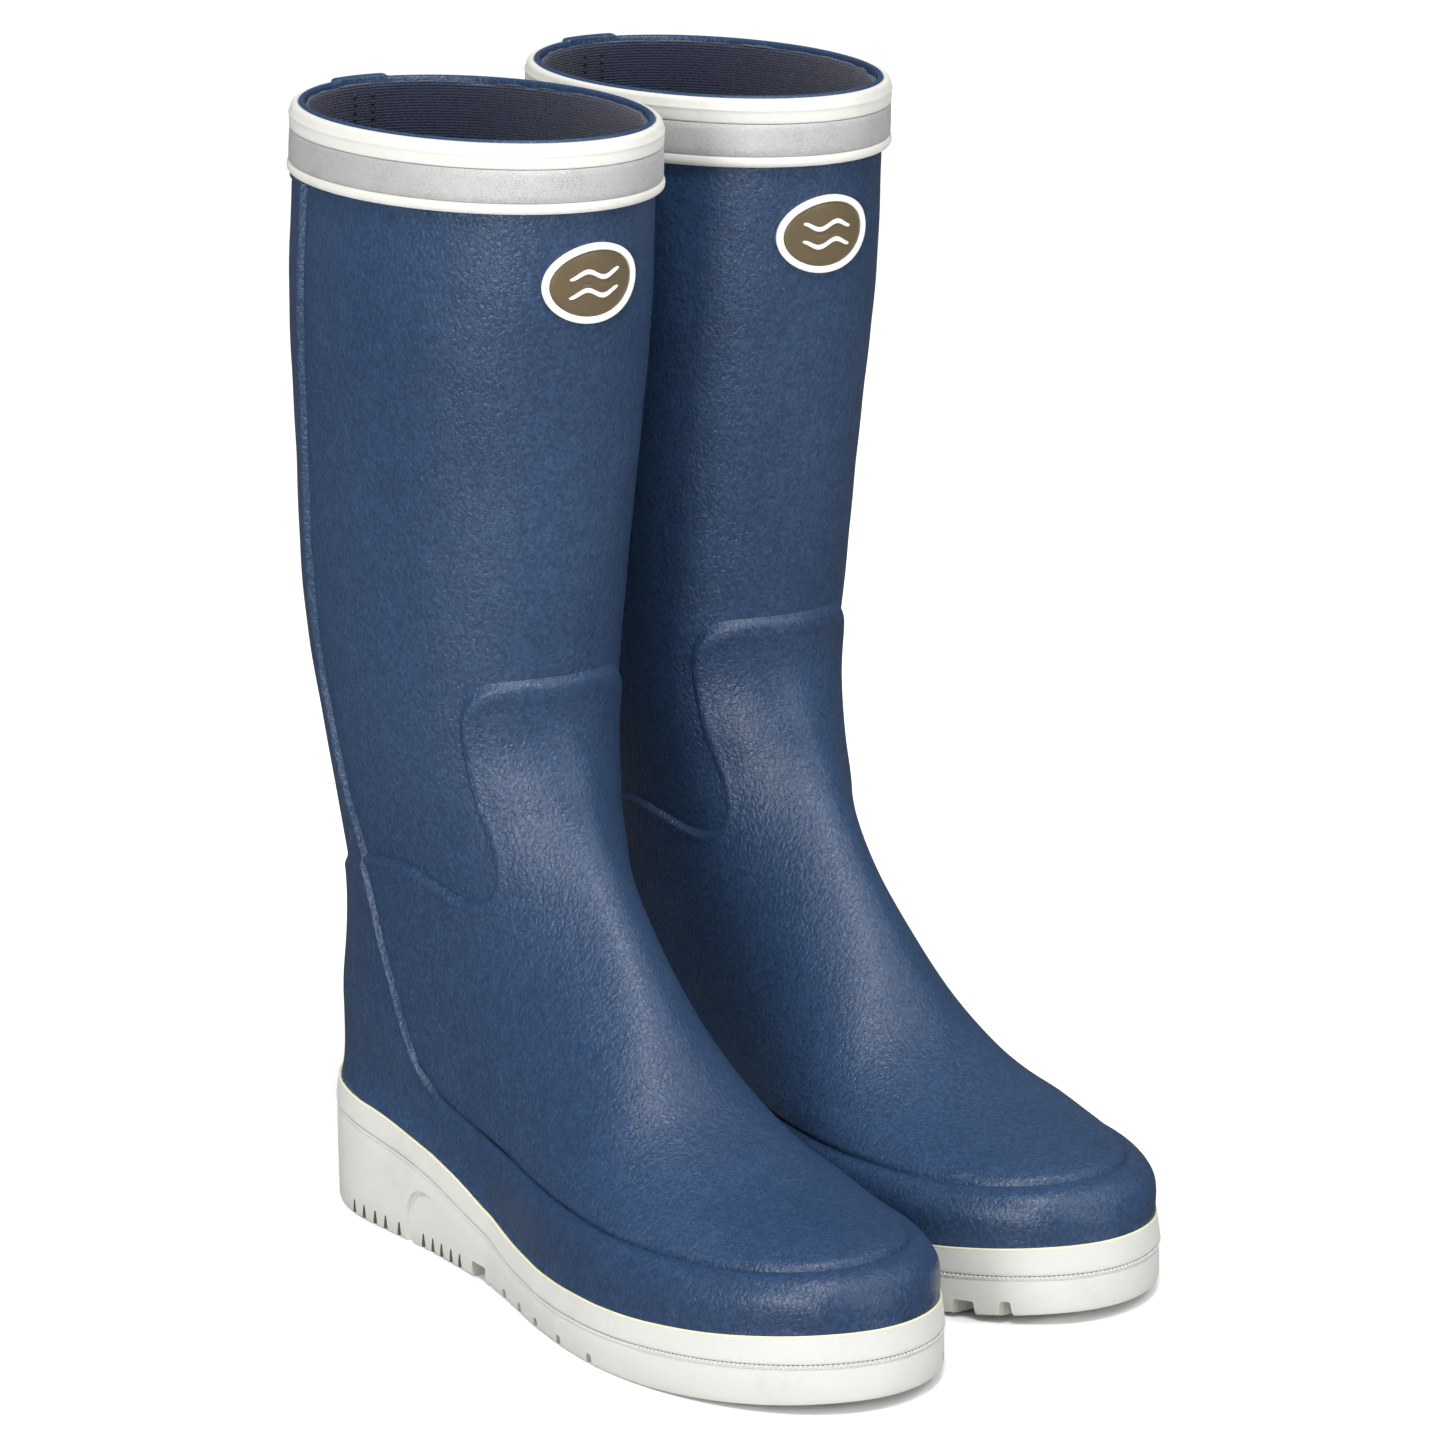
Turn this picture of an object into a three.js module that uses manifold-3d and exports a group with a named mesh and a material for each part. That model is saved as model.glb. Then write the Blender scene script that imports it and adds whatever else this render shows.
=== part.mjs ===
// A pair of knee-high rubber deck boots for sailing, built up layer by layer the way such boots are made.
// Units are millimetres and +Z points up. The boots stand on Z = 0 with their toes towards -Y, and the
// wearer's right boot is at -X. One boot is drawn in its own frame and then set down on both sides:
//   x outwards from the boot's middle (lateral side positive), f forwards from the back of the sole, z up.
import * as THREE from 'three';
import { mergeVertices } from 'three/addons/utils/BufferGeometryUtils.js';
import Module from 'manifold-3d';

const wasm = await Module();
wasm.setup();

// ---------- driving dimensions ----------
const SOLE_LENGTH = 300;        // back of the heel to the tip of the toe, along the sole
const HEEL_HALF_WIDTH = 38;     // sole, across the heel
const WAIST_HALF_WIDTH = 39;    // sole, across the waist
const BALL_HALF_WIDTH = 52.5;   // sole, across the ball of the foot
const HEEL_CAP = 50;            // length of the rounded back of the sole
const TOE_START = 213;          // where the sole begins to round off towards the toe
const TOE_POWER = 2.1;          // how blunt the toe is
const TOE_SWING = -1.5;         // the tip of the toe lies this far to the inner side
const HEEL_STACK = 43;          // height of the sole's upper edge at the heel
const WAIST_STACK = 19.5;       // height of the sole's upper edge at the waist
const TOE_STACK = 27;           // height of the sole's upper edge at the toe
const TOE_SPRING = 4.7;         // the tip of the sole curls up this far off the deck
const SHAFT_HEIGHT = 374;       // deck to the rim of the leg
const RIM_HALF_WIDTH = 49.5;    // leg at the rim, half of its width
const CALF_HALF_WIDTH = 51.5;   // widest part of the leg
const ANKLE_HALF_WIDTH = 36;    // narrowest part, across the ankle
const RIM_FRONT = 145.5;        // front of the rim, forwards from the heel
const SOLE_MARGIN = 5;          // the rubber foot stands this far inside the sole's outline
const WALL = 2.1;               // inner rubber layer of the leg and the foot
const LAYER = 1.5;              // each rubber layer laid over it
const LINING = 1.2;             // knitted lining
const FIT = 0.3;                // clearance left between neighbouring layers
const LINING_DROP = 1.5;          // the lining is trimmed this far below the rim
const COLLAR_HEIGHT = 22.4;      // white band round the rim
const REFLECTOR_HEIGHT = 10.6;   // reflective strip set into that band
const REFLECTOR_UP = 3.7;       // from the lower edge of the band to the strip
const COLLAR_THICKNESS = 2.6;
const REFLECTOR_THICKNESS = 1.1;
const CHANNEL_FLOOR = 1.2;      // white rubber left behind the strip
const TAB_RISE = 1.6;           // the back stay ends in a tab this far above the rim
const VAMP_TOP = 196;           // top edge of the vamp on the shin
const BADGE_WIDTH = 34;
const BADGE_HEIGHT = 26;
const BADGE_Z = 328;            // middle of the badge
const BADGE_RIM = 2.2;          // width of its raised border
const PAIR_SPACING = 107;       // middle of one boot to the middle of the other
const PAIR_STAGGER = 27;        // the left boot stands this far behind the right one
const TURNS = 24;               // facets round the leg and the foot

const OUT_VAMP = FIT + LAYER;
const IN_RAND = OUT_VAMP + FIT;
const OUT_RAND = IN_RAND + LAYER;
const IN_LINING = -WALL - FIT - LINING;
const along = SOLE_LENGTH / 300;
const upLeg = (z) => 150 + (z - 150) * (SHAFT_HEIGHT - 150) / 224;

// ---------- small helpers ----------
const clamp = (v, lo, hi) => Math.min(Math.max(v, lo), hi);
const power = (v, p) => Math.sign(v) * Math.abs(v) ** p;

function spline(knots, u) {
  const k = clamp(Math.floor(u), 0, knots.length - 2);
  const t = u - k;
  const p0 = knots[Math.max(k - 1, 0)];
  const p1 = knots[k];
  const p2 = knots[k + 1];
  const p3 = knots[Math.min(k + 2, knots.length - 1)];
  return p1.map((v, i) => 0.5 * (2 * v + (p2[i] - p0[i]) * t
    + (2 * p0[i] - 5 * v + 4 * p2[i] - p3[i]) * t * t + (3 * v - p0[i] - 3 * p2[i] + p3[i]) * t * t * t));
}

// Height along a line given as [f, z] corners, eased between them so that the slope never jumps.
function lineAt(corners, f) {
  if (f <= corners[0][0]) return corners[0][1];
  for (let i = 1; i < corners.length; i += 1) {
    if (f <= corners[i][0]) {
      const t = (f - corners[i - 1][0]) / (corners[i][0] - corners[i - 1][0]);
      return corners[i - 1][1] + (corners[i][1] - corners[i - 1][1]) * t;
    }
  }
  return corners[corners.length - 1][1];
}

// ---------- sole outline and side view ----------
const waistKnots = [[HEEL_CAP, HEEL_HALF_WIDTH], [90, HEEL_HALF_WIDTH - 1], [130, WAIST_HALF_WIDTH],
  [150, WAIST_HALF_WIDTH + 4], [172, WAIST_HALF_WIDTH + 9], [192, BALL_HALF_WIDTH - 1.5],
  [TOE_START, BALL_HALF_WIDTH]];
const swingKnots = [[0, 0], [45, 0], [205, 0.5], [260, TOE_SWING * 0.6], [300, TOE_SWING]];

function halfWidth(f, inset) {
  const g = f / along;
  if (g < HEEL_CAP) {
    const q = (HEEL_CAP - g) / (HEEL_CAP - inset);
    return (HEEL_HALF_WIDTH - inset) * Math.sqrt(Math.max(1 - q * q, 0));
  }
  if (g > TOE_START) {
    const q = clamp((g - TOE_START) / (300 - inset - TOE_START), 0, 1);
    return (BALL_HALF_WIDTH - inset) * Math.sqrt(1 - q ** TOE_POWER);
  }
  return lineAt(waistKnots, g) - inset;
}
const middle = (f) => lineAt(swingKnots, f / along);

const soleTop = [[0, HEEL_STACK], [35, HEEL_STACK - 1], [60, HEEL_STACK - 3], [80, HEEL_STACK - 7],
  [107, WAIST_STACK + 11], [129, WAIST_STACK + 4.5], [150, WAIST_STACK + 1], [180, WAIST_STACK],
  [232, WAIST_STACK + 1.5], [262, WAIST_STACK + 3.5], [300, TOE_STACK]].map(([f, z]) => [f * along, z]);
const grooveLine = [[0, HEEL_STACK - 8.6], [40, HEEL_STACK - 9.8], [74, HEEL_STACK - 13.8],
  [94, WAIST_STACK + 5.5], [118, WAIST_STACK - 0.3], [148, WAIST_STACK - 6.8], [183, WAIST_STACK - 8],
  [232, WAIST_STACK - 6.5], [262, WAIST_STACK - 4.9], [300, TOE_STACK - 9.5]].map(([f, z]) => [f * along, z]);
const springLine = [[0, 0], [225, 0], [245, TOE_SPRING * 0.07], [265, TOE_SPRING * 0.28],
  [285, TOE_SPRING * 0.64], [300, TOE_SPRING]].map(([f, z]) => [f * along, z]);

// ---------- the last: one surface that every layer of rubber follows ----------
// Each row is a slice across the boot: front point f, z; back point f, z; half width; where the widest
// place lies between front and back; how square the front and the back of the slice are; sideways shift;
// share of the half width on the outer side.
const outerShare = { 8: 0.975, 9: 0.94, 10: 0.925, 11: 0.94, 12: 0.97 }; // the instep is slimmer outside
const lastRows = [
  [RIM_FRONT + 1.5, upLeg(392), -2, upLeg(392), RIM_HALF_WIDTH, 0.5, 2, 2, 0],
  [RIM_FRONT, upLeg(374), -2, upLeg(374), RIM_HALF_WIDTH, 0.5, 2, 2, 0],
  [RIM_FRONT - 5.5, upLeg(318), -4.5, upLeg(318), CALF_HALF_WIDTH, 0.5, 2, 2, 0],
  [131.5, upLeg(265), -5, upLeg(260), CALF_HALF_WIDTH - 2, 0.5, 2, 2, 0],
  [124, upLeg(217), -3, upLeg(197), CALF_HALF_WIDTH - 5, 0.5, 2, 2, 0],
  [119.5, upLeg(178), 8.5, 142, ANKLE_HALF_WIDTH + 5.5, 0.5, 2, 2, 0],
  [127, 158, 11, 100, ANKLE_HALF_WIDTH, 0.5, 2, 2.1, 0],
  [133, 146, 8, 58, ANKLE_HALF_WIDTH - 1.5, 0.52, 2, 2.3, 0],
  [142, 133.5, 17, 28.5, ANKLE_HALF_WIDTH - 2.5, 0.58, 2, 2.6, 0],
].concat([
  [157, 115, 60, 25.5, 0.64, 2, 3],
  [178.5, 90.5, 110, 22.5, 0.66, 2.1, 3],
  [199.5, 67, 160, 18, 0.66, 2.2, 3.2],
  [223, 54, 205, 16.5, 0.64, 2.3, 3.2],
  [249, 48, 242, 17.5, 0.62, 2.4, 3.2],
  [271, 46.5, 269, 19.5, 0.6, 2.4, 3],
  [285, 44, 283.5, 22, 0.58, 2.4, 2.7],
  [291.5, 38, 291, 26.5, 0.55, 2.2, 2.3],
].map(([ff, fz, bf, bz, c, nf, nb]) => {
  const wide = (ff + (bf - ff) * c) * along;
  return [ff * along, fz, bf * along, bz, halfWidth(wide, SOLE_MARGIN), c, nf, nb, middle(wide)];
}), [[293.5 * along, 32.5, 293.5 * along, 31.5, 0, 0.5, 2, 2, middle(293.5 * along)]])
  .map((row, i) => [...row, outerShare[i] ?? 1]);

function rimSlice(height) {
  let lo = 0;
  let hi = 2;
  for (let i = 0; i < 40; i += 1) {
    const mid = (lo + hi) / 2;
    if (spline(lastRows, mid)[1] > height) lo = mid; else hi = mid;
  }
  return lo;
}
const COLLAR_LOW = SHAFT_HEIGHT - COLLAR_HEIGHT;
const slices = [0, rimSlice(SHAFT_HEIGHT), rimSlice(COLLAR_LOW), 2.3, 3.4, 4.5, 5.5, 6.5, 7.5, 8.5, 9.6, 10.7,
  12, 13.3, 14.4, 15.4, 16.3];
const RIM_RING = 1;
const COLLAR_RING = 2;

function slicePoint(row, turn) {
  const [ff, fz, bf, bz, w, c, nf, nb, shift, outer] = row;
  const co = Math.cos(turn);
  const si = Math.sin(turn);
  const n = co > 0 ? nf : nb;
  const reach = Math.abs(co) ** (2 / n);
  const a = co > 0 ? c * (1 - reach) : c + (1 - c) * reach;
  const across = shift + w * (si > 0 ? outer : 1) * power(si, 2 / n);
  return new THREE.Vector3(across, ff + (bf - ff) * a, fz + (bz - fz) * a);
}

const rings = slices.map((s) => {
  const row = spline(lastRows, s);
  return Array.from({ length: TURNS }, (_, j) => slicePoint(row, (2 * Math.PI * j) / TURNS));
});
const tip = slicePoint(lastRows[lastRows.length - 1], Math.PI / 2);

// Triangles of a tube of rings that is shut at both ends.
function tubeFaces(count) {
  const faces = [];
  const at = (r, j) => r * TURNS + (j % TURNS);
  for (let r = 0; r + 1 < count; r += 1) {
    for (let j = 0; j < TURNS; j += 1) {
      faces.push([at(r, j), at(r + 1, j), at(r + 1, j + 1)], [at(r, j), at(r + 1, j + 1), at(r, j + 1)]);
    }
  }
  for (let j = 0; j < TURNS; j += 1) {
    faces.push([count * TURNS, at(0, j), at(0, j + 1)]);
    faces.push([count * TURNS + 1, at(count - 1, j + 1), at(count - 1, j)]);
  }
  return faces;
}
const lastFaces = tubeFaces(rings.length);
const lastPoints = rings.flat();
const topMiddle = rings[0].reduce((sum, p) => sum.add(p), new THREE.Vector3()).divideScalar(TURNS);
lastPoints.push(topMiddle, tip);

const normals = lastPoints.map(() => new THREE.Vector3());
for (const face of lastFaces) {
  if (face[0] === lastPoints.length - 2) continue;
  const [a, b, c] = face.map((i) => lastPoints[i]);
  const n = new THREE.Vector3().crossVectors(b.clone().sub(a), c.clone().sub(a));
  face.forEach((i) => normals[i].add(n));
}
normals.forEach((n) => n.normalize());
normals[normals.length - 2].set(0, 0, 0);

function solid(points, faces) {
  const flat = new Float32Array(points.length * 3);
  points.forEach((p, i) => flat.set([p.x, p.y, p.z], i * 3));
  return new wasm.Manifold(new wasm.Mesh({
    numProp: 3, vertProperties: flat, triVerts: new Uint32Array(faces.flat()),
  }));
}

// The whole last, grown or shrunk by a distance that may change with height.
const outward = normals[5].x * lastPoints[5].x > 0 ? 1 : -1;
function grown(distance) {
  const grow = typeof distance === 'function' ? distance : () => distance;
  const points = lastPoints.map((p, i) => p.clone().addScaledVector(normals[i], outward * grow(p.z)));
  return solid(points, outward > 0 ? lastFaces : lastFaces.map(([a, b, c]) => [a, c, b]));
}
const layer = (inner, outer) => grown(outer).subtract(grown(inner));

// ---------- prisms that cut the layers into panels ----------
function fromGeometry(geometry) {
  geometry.deleteAttribute('normal');
  geometry.deleteAttribute('uv');
  const merged = mergeVertices(geometry, 1e-4);
  const p = merged.getAttribute('position');
  return new wasm.Manifold(new wasm.Mesh({
    numProp: 3, vertProperties: new Float32Array(p.array), triVerts: new Uint32Array(merged.index.array),
  }));
}
function prism(corners, depth, place) {
  const shape = new THREE.Shape(corners.map(([u, v]) => new THREE.Vector2(u, v)));
  const geometry = new THREE.ExtrudeGeometry(shape, { depth, bevelEnabled: false, steps: 1 });
  geometry.applyMatrix4(place);
  return fromGeometry(geometry);
}
const acrossBoot = (half) => new THREE.Matrix4().set(0, 0, 1, -half, 1, 0, 0, 0, 0, 1, 0, 0, 0, 0, 0, 1);
const sidePanel = (corners, half = 100) => prism(corners, half * 2, acrossBoot(half));
const plan = (corners, low, high) => prism(corners, high - low,
  new THREE.Matrix4().makeTranslation(0, 0, low));
const fromFront = (corners, near, far) => prism(corners, far - near,
  new THREE.Matrix4().set(1, 0, 0, 0, 0, 0, -1, far, 0, 1, 0, 0, 0, 0, 0, 1));
function block(x0, x1, f0, f1, z0, z1) {
  const geometry = new THREE.BoxGeometry(x1 - x0, f1 - f0, z1 - z0);
  geometry.translate((x0 + x1) / 2, (f0 + f1) / 2, (z0 + z1) / 2);
  return fromGeometry(geometry);
}
const raise = (line, by) => line.map(([f, z]) => [f, z + by]);
const backwards = (line) => [...line].reverse();
const FAR = 330 * along;
const BEHIND = -40;

function soleOutline(inset) {
  const corners = [];
  const steps = 32;
  for (let i = 0; i < steps; i += 1) {
    const a = (Math.PI * 2 * i) / steps;
    const f = inset * along + (SOLE_LENGTH - 2 * inset * along) * (1 - Math.cos(a)) / 2;
    const w = Math.max(halfWidth(f, inset), 0);
    const side = i === 0 || i === steps / 2 ? 0 : Math.sign(Math.sin(a));
    corners.push([middle(f) - side * w, f]);
  }
  return corners;
}

// ---------- sole unit ----------
const bottomRun = [];
for (let u = 8; u <= 16; u += 1) bottomRun.push([lastRows[u][2], lastRows[u][3]]);
bottomRun.unshift([0, bottomRun[0][1]]);
const TRAY_FLOOR = [[0, 11], [80 * along, 10], [150 * along, 8], [SOLE_LENGTH, 9 + TOE_SPRING]];
const TRAY_WALL = 7.5;

const footRoom = grown(FIT);
const soleBlock = plan(soleOutline(0), -1, 60);
const trayPlan = plan(soleOutline(TRAY_WALL), -2, 70);
const midsolePlan = plan(soleOutline(TRAY_WALL + FIT), -2, 70);
const edgeLow = (line) => [[BEHIND, line[0][1]], ...line, [FAR, line[line.length - 1][1]]];

const belowGroove = sidePanel([...edgeLow(springLine), ...backwards(edgeLow(raise(grooveLine, -FIT / 2)))]);
const bandRegion = sidePanel([...edgeLow(raise(grooveLine, FIT / 2)), ...backwards(edgeLow(soleTop))]);
const aboveTray = sidePanel([...edgeLow(TRAY_FLOOR), [FAR, 80], [BEHIND, 80]]);

let outsole = soleBlock.intersect(belowGroove).subtract(trayPlan.intersect(aboveTray)).subtract(footRoom);

// Tread: narrow water slots cut into both sides of the heel, a step at the waist and forefoot grooves.
const SLOT_WIDTH = 1.6;
const SLOT_DEPTH = 4.5;
const SLOT_IN = 8;
const slotPlaces = [41, 48, 55, 61.5, 70, 85, 91, 97, 103.5, 109.5].map((f) => f * along);
for (const f of slotPlaces) {
  const w = halfWidth(f, 0);
  outsole = outsole.subtract(block(w - SLOT_IN, 80, f, f + SLOT_WIDTH, -1, SLOT_DEPTH));
  outsole = outsole.subtract(block(-80, -w + SLOT_IN, f, f + SLOT_WIDTH, -1, SLOT_DEPTH));
}
const STEP_DEPTH = 5.5;
const GROOVE_WIDTH = 2.8;
const GROOVE_DEPTH = 3.4;
outsole = outsole.subtract(block(-80, 80, 119 * along, 128 * along, -1, STEP_DEPTH));
for (const f of [143, 157, 172, 190, 210, 246, 260, 272, 283]) {
  const lift = lineAt(springLine, f * along);
  const outerEnd = f > 240 ? halfWidth(f * along, 12) : 80; // round the toe they open to the inner side only
  const groove = block(-80, outerEnd, f * along, f * along + GROOVE_WIDTH, -1, GROOVE_DEPTH + lift);
  outsole = outsole.subtract(groove);
}

const soleBand = soleBlock.intersect(bandRegion).subtract(trayPlan).subtract(footRoom);

// Foam wedge inside the tray, with the spring-steel shank let into its upper face.
const SHANK_HALF_WIDTH = 9;
const SHANK_THICKNESS = 1.6;
const SHANK_FROM = 66 * along;
const SHANK_TO = 150 * along;
const shankFloor = (by) => [SHANK_FROM, (SHANK_FROM + SHANK_TO) / 2, SHANK_TO]
  .map((f) => [f, lineAt(bottomRun, f) - FIT - SHANK_THICKNESS + by]);
const shank = sidePanel([...shankFloor(-0.5), [SHANK_TO, 60], [SHANK_FROM, 60]], SHANK_HALF_WIDTH)
  .intersect(sidePanel([...shankFloor(-0.5), ...backwards(shankFloor(SHANK_THICKNESS - 0.5))]));
const pocketFloor = raise(shankFloor(-0.5), -FIT);
const shankPocket = sidePanel([[SHANK_FROM - FIT, pocketFloor[0][1]], ...pocketFloor,
  [SHANK_TO + FIT, pocketFloor[2][1]], [SHANK_TO + FIT, 60], [SHANK_FROM - FIT, 60]], SHANK_HALF_WIDTH + FIT);
const wedgeTop = sidePanel([...edgeLow(raise(TRAY_FLOOR, FIT)), ...backwards(edgeLow(raise(soleTop, -1)))]);
const wedge = midsolePlan.intersect(wedgeTop).subtract(grown(FIT + 0.05)).subtract(shankPocket);
const wedgePieces = wedge.decompose().sort((a, b) => b.volume() - a.volume());

// ---------- rubber foot and leg ----------
const seamLine = [[BEHIND, 84 - 0.178 * 20], [FAR, 84 + 0.178 * (FAR + 20)]];
const aboveSeam = sidePanel([...raise(seamLine, FIT / 2), [FAR, SHAFT_HEIGHT], [BEHIND, SHAFT_HEIGHT]]);
const belowSeam = sidePanel([[BEHIND, -10], [FAR, -10], ...backwards(raise(seamLine, -FIT / 2))]);
const innerLayer = layer(-WALL, 0);
const leg = innerLayer.intersect(aboveSeam);

const puffFrom = 254 * along;
const puffLow = 30;
const puffPanel = (by) => sidePanel([[puffFrom - by, puffLow - by], [FAR, puffLow - by], [FAR, 90],
  [puffFrom - by - 8, 90]]);
const stiffenerPanel = (by) => sidePanel([[BEHIND, 46 - by], [54 + by, 46 - by], [44 + by, 74 + by],
  [BEHIND, 74 + by]]);
const toePuff = innerLayer.intersect(puffPanel(0));
const heelStiffener = innerLayer.intersect(stiffenerPanel(0));
const footBase = innerLayer.intersect(belowSeam).subtract(puffPanel(FIT)).subtract(stiffenerPanel(FIT));

const liningTop = SHAFT_HEIGHT - LINING_DROP;
const lining = layer(IN_LINING, -WALL - FIT)
  .intersect(block(-100, 100, BEHIND, FAR, -10, liningTop));

// ---------- insole board and footbed ----------
const insideRoom = grown(IN_LINING - FIT);
const bedLine = (by) => edgeLow(raise(bottomRun, by - IN_LINING + FIT));
const BOARD = 2;
const FOOTBED = 4;
const board = insideRoom.intersect(sidePanel([[BEHIND, -10], [FAR, -10], ...backwards(bedLine(BOARD))]));
const footbed = insideRoom.intersect(
  sidePanel([...bedLine(BOARD + FIT), ...backwards(bedLine(BOARD + FIT + FOOTBED))]));

// ---------- outer panels ----------
const vampEdge = [[FAR, VAMP_TOP], [115, VAMP_TOP], [108, VAMP_TOP - 3], [104.5, VAMP_TOP - 9],
  [103.5, VAMP_TOP - 18], [105, VAMP_TOP - 29], [109, 150], [114, 138], [115.5, 131], [113.5, 125.5],
  [108, 122.5], [98, 124], [86, 128], [70, 130], [50, 127], [20, 119], [BEHIND, 119]];
const onSole = edgeLow(raise(soleTop, FIT));
const vamp = layer(FIT, OUT_VAMP).intersect(sidePanel([...onSole, ...vampEdge]));

const randTop = [[86, 54], [94, 51.5], [122, 46], [144, 43], [172, 41], [248, 40], [264, 41], [286, 43]]
  .map(([f, z]) => [f * along, z]);
const JOIN_F = randTop[0][0];
const rand = layer(IN_RAND, OUT_RAND).intersect(sidePanel([...onSole, [FAR, 44], ...backwards(randTop)])
  .intersect(block(-100, 100, JOIN_F + FIT / 2, FAR, -10, 90)));

// The back stay lies on the vamp at the heel and steps down onto the bare leg above it.
const STEP_FROM = 150;
const STEP_TO = 172;
const stepDown = (low, high) => (z) => {
  const t = clamp((z - STEP_FROM) / (STEP_TO - STEP_FROM), 0, 1);
  return low + (high - low) * t;
};
const PANEL_TOP = COLLAR_LOW - FIT;
const stayEdge = [[JOIN_F - FIT / 2, 54], [80, 56.5], [75.5, 69], [70, 87], [61, 107], [53, 128], [47, 159],
  [39, 195], [39, upLeg(240)], [42, upLeg(290)], [46, PANEL_TOP], [2.5, PANEL_TOP],
  [1, SHAFT_HEIGHT + TAB_RISE], [BEHIND, SHAFT_HEIGHT + TAB_RISE]];
const backStay = grown(stepDown(OUT_RAND, OUT_VAMP)).subtract(grown(stepDown(IN_RAND, FIT)))
  .intersect(sidePanel([...onSole.filter(([f]) => f < JOIN_F),
    [JOIN_F - FIT / 2, lineAt(soleTop, JOIN_F) + FIT], ...stayEdge]));

// ---------- collar ----------
// A closed ring: a profile of [height above the collar's lower edge, distance from the leg] swept round it.
function ringBand(profile) {
  const points = [];
  const faces = [];
  const low = COLLAR_RING * TURNS;
  const high = RIM_RING * TURNS;
  const backTurn = TURNS / 2;
  for (let j = 0; j < TURNS; j += 1) {
    const overStay = Math.abs(j - backTurn) <= 2 ? OUT_VAMP : 0;
    for (const [h, d] of profile) {
      const t = h / COLLAR_HEIGHT;
      const p = lastPoints[low + j].clone().lerp(lastPoints[high + j], t);
      const n = normals[low + j].clone().lerp(normals[high + j], t).setZ(0).normalize();
      points.push(p.addScaledVector(n, outward * (d + overStay)));
    }
  }
  const m = profile.length;
  const at = (j, i) => (j % TURNS) * m + (i % m);
  for (let j = 0; j < TURNS; j += 1) {
    for (let i = 0; i < m; i += 1) {
      faces.push([at(j, i), at(j, i + 1), at(j + 1, i + 1)], [at(j, i), at(j + 1, i + 1), at(j + 1, i)]);
    }
  }
  const made = solid(points, faces);
  return made.volume() > 0 ? made : solid(points, faces.map(([a, b, c]) => [a, c, b]));
}
const COLLAR_OUT = FIT + COLLAR_THICKNESS;
const CHANNEL = FIT + CHANNEL_FLOOR;
const stripLow = REFLECTOR_UP;
const stripHigh = REFLECTOR_UP + REFLECTOR_HEIGHT;
const collar = ringBand([[0, FIT], [0, COLLAR_OUT - 0.5], [1.6, COLLAR_OUT + 0.6],
  [stripLow - FIT, COLLAR_OUT + 0.3], [stripLow - FIT, CHANNEL], [stripHigh + FIT, CHANNEL],
  [stripHigh + FIT, COLLAR_OUT], [COLLAR_HEIGHT - 2, COLLAR_OUT], [COLLAR_HEIGHT, COLLAR_OUT - 1],
  [COLLAR_HEIGHT, FIT]]);
const reflector = ringBand([[stripLow, CHANNEL + FIT], [stripLow, CHANNEL + FIT + REFLECTOR_THICKNESS],
  [stripHigh, CHANNEL + FIT + REFLECTOR_THICKNESS], [stripHigh, CHANNEL + FIT]]);

// ---------- badge: a plain oval plate with two waves on it, inside a raised border ----------
function oval(width, height, steps = 16) {
  return Array.from({ length: steps }, (_, i) => {
    const a = (Math.PI * 2 * i) / steps;
    return [(width / 2) * Math.cos(a), BADGE_Z + (height / 2) * Math.sin(a)];
  });
}
const PLATE = 1.1;
const BORDER = 1.6;
const RELIEF = 0.5;
const badgeFront = (corners) => fromFront(corners, 90, 190);
const PLATE_INSET = BADGE_RIM + FIT;
const plateShape = badgeFront(oval(BADGE_WIDTH - 2 * PLATE_INSET, BADGE_HEIGHT - 2 * PLATE_INSET));
const WAVE_HALF = 9;
const waveBars = [-3, 3].map((rise) => {
  const upper = [];
  for (let i = 0; i <= 6; i += 1) {
    const u = -WAVE_HALF + (2 * WAVE_HALF * i) / 6;
    upper.push([u, BADGE_Z + rise + Math.sin((u / WAVE_HALF) * Math.PI * 1.5) * 1.1]);
  }
  return badgeFront([...raise(upper, -0.7), ...backwards(raise(upper, 0.7))]);
});
let badgePlate = layer(FIT, FIT + PLATE).intersect(plateShape);
const relief = layer(FIT + PLATE - 0.3, FIT + PLATE + RELIEF);
for (const bar of waveBars) badgePlate = badgePlate.add(relief.intersect(bar));
const badgeBorder = layer(FIT, FIT + BORDER).intersect(badgeFront(oval(BADGE_WIDTH, BADGE_HEIGHT)))
  .subtract(badgeFront(oval(BADGE_WIDTH - 2 * BADGE_RIM, BADGE_HEIGHT - 2 * BADGE_RIM)));

// ---------- materials ----------
const paint = (colour, roughness, metalness = 0) => new THREE.MeshStandardMaterial({
  color: new THREE.Color(colour), roughness, metalness,
});
const look = {
  navyRubber: () => paint('#34547a', 0.5),
  innerRubber: () => paint('#2b4566', 0.6),
  soleRubber: () => paint('#dedfdb', 0.65),
  collarRubber: () => paint('#eeede6', 0.6),
  foam: () => paint('#b9b4a6', 0.9),
  steel: () => paint('#8d9196', 0.35, 0.9),
  knit: () => paint('#1e233a', 0.95),
  board: () => paint('#8a7a5f', 0.9),
  silver: () => paint('#aaacac', 0.4, 0.3),
  olive: () => paint('#7d6c4e', 0.5),
  white: () => paint('#f0efea', 0.5),
};

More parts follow.
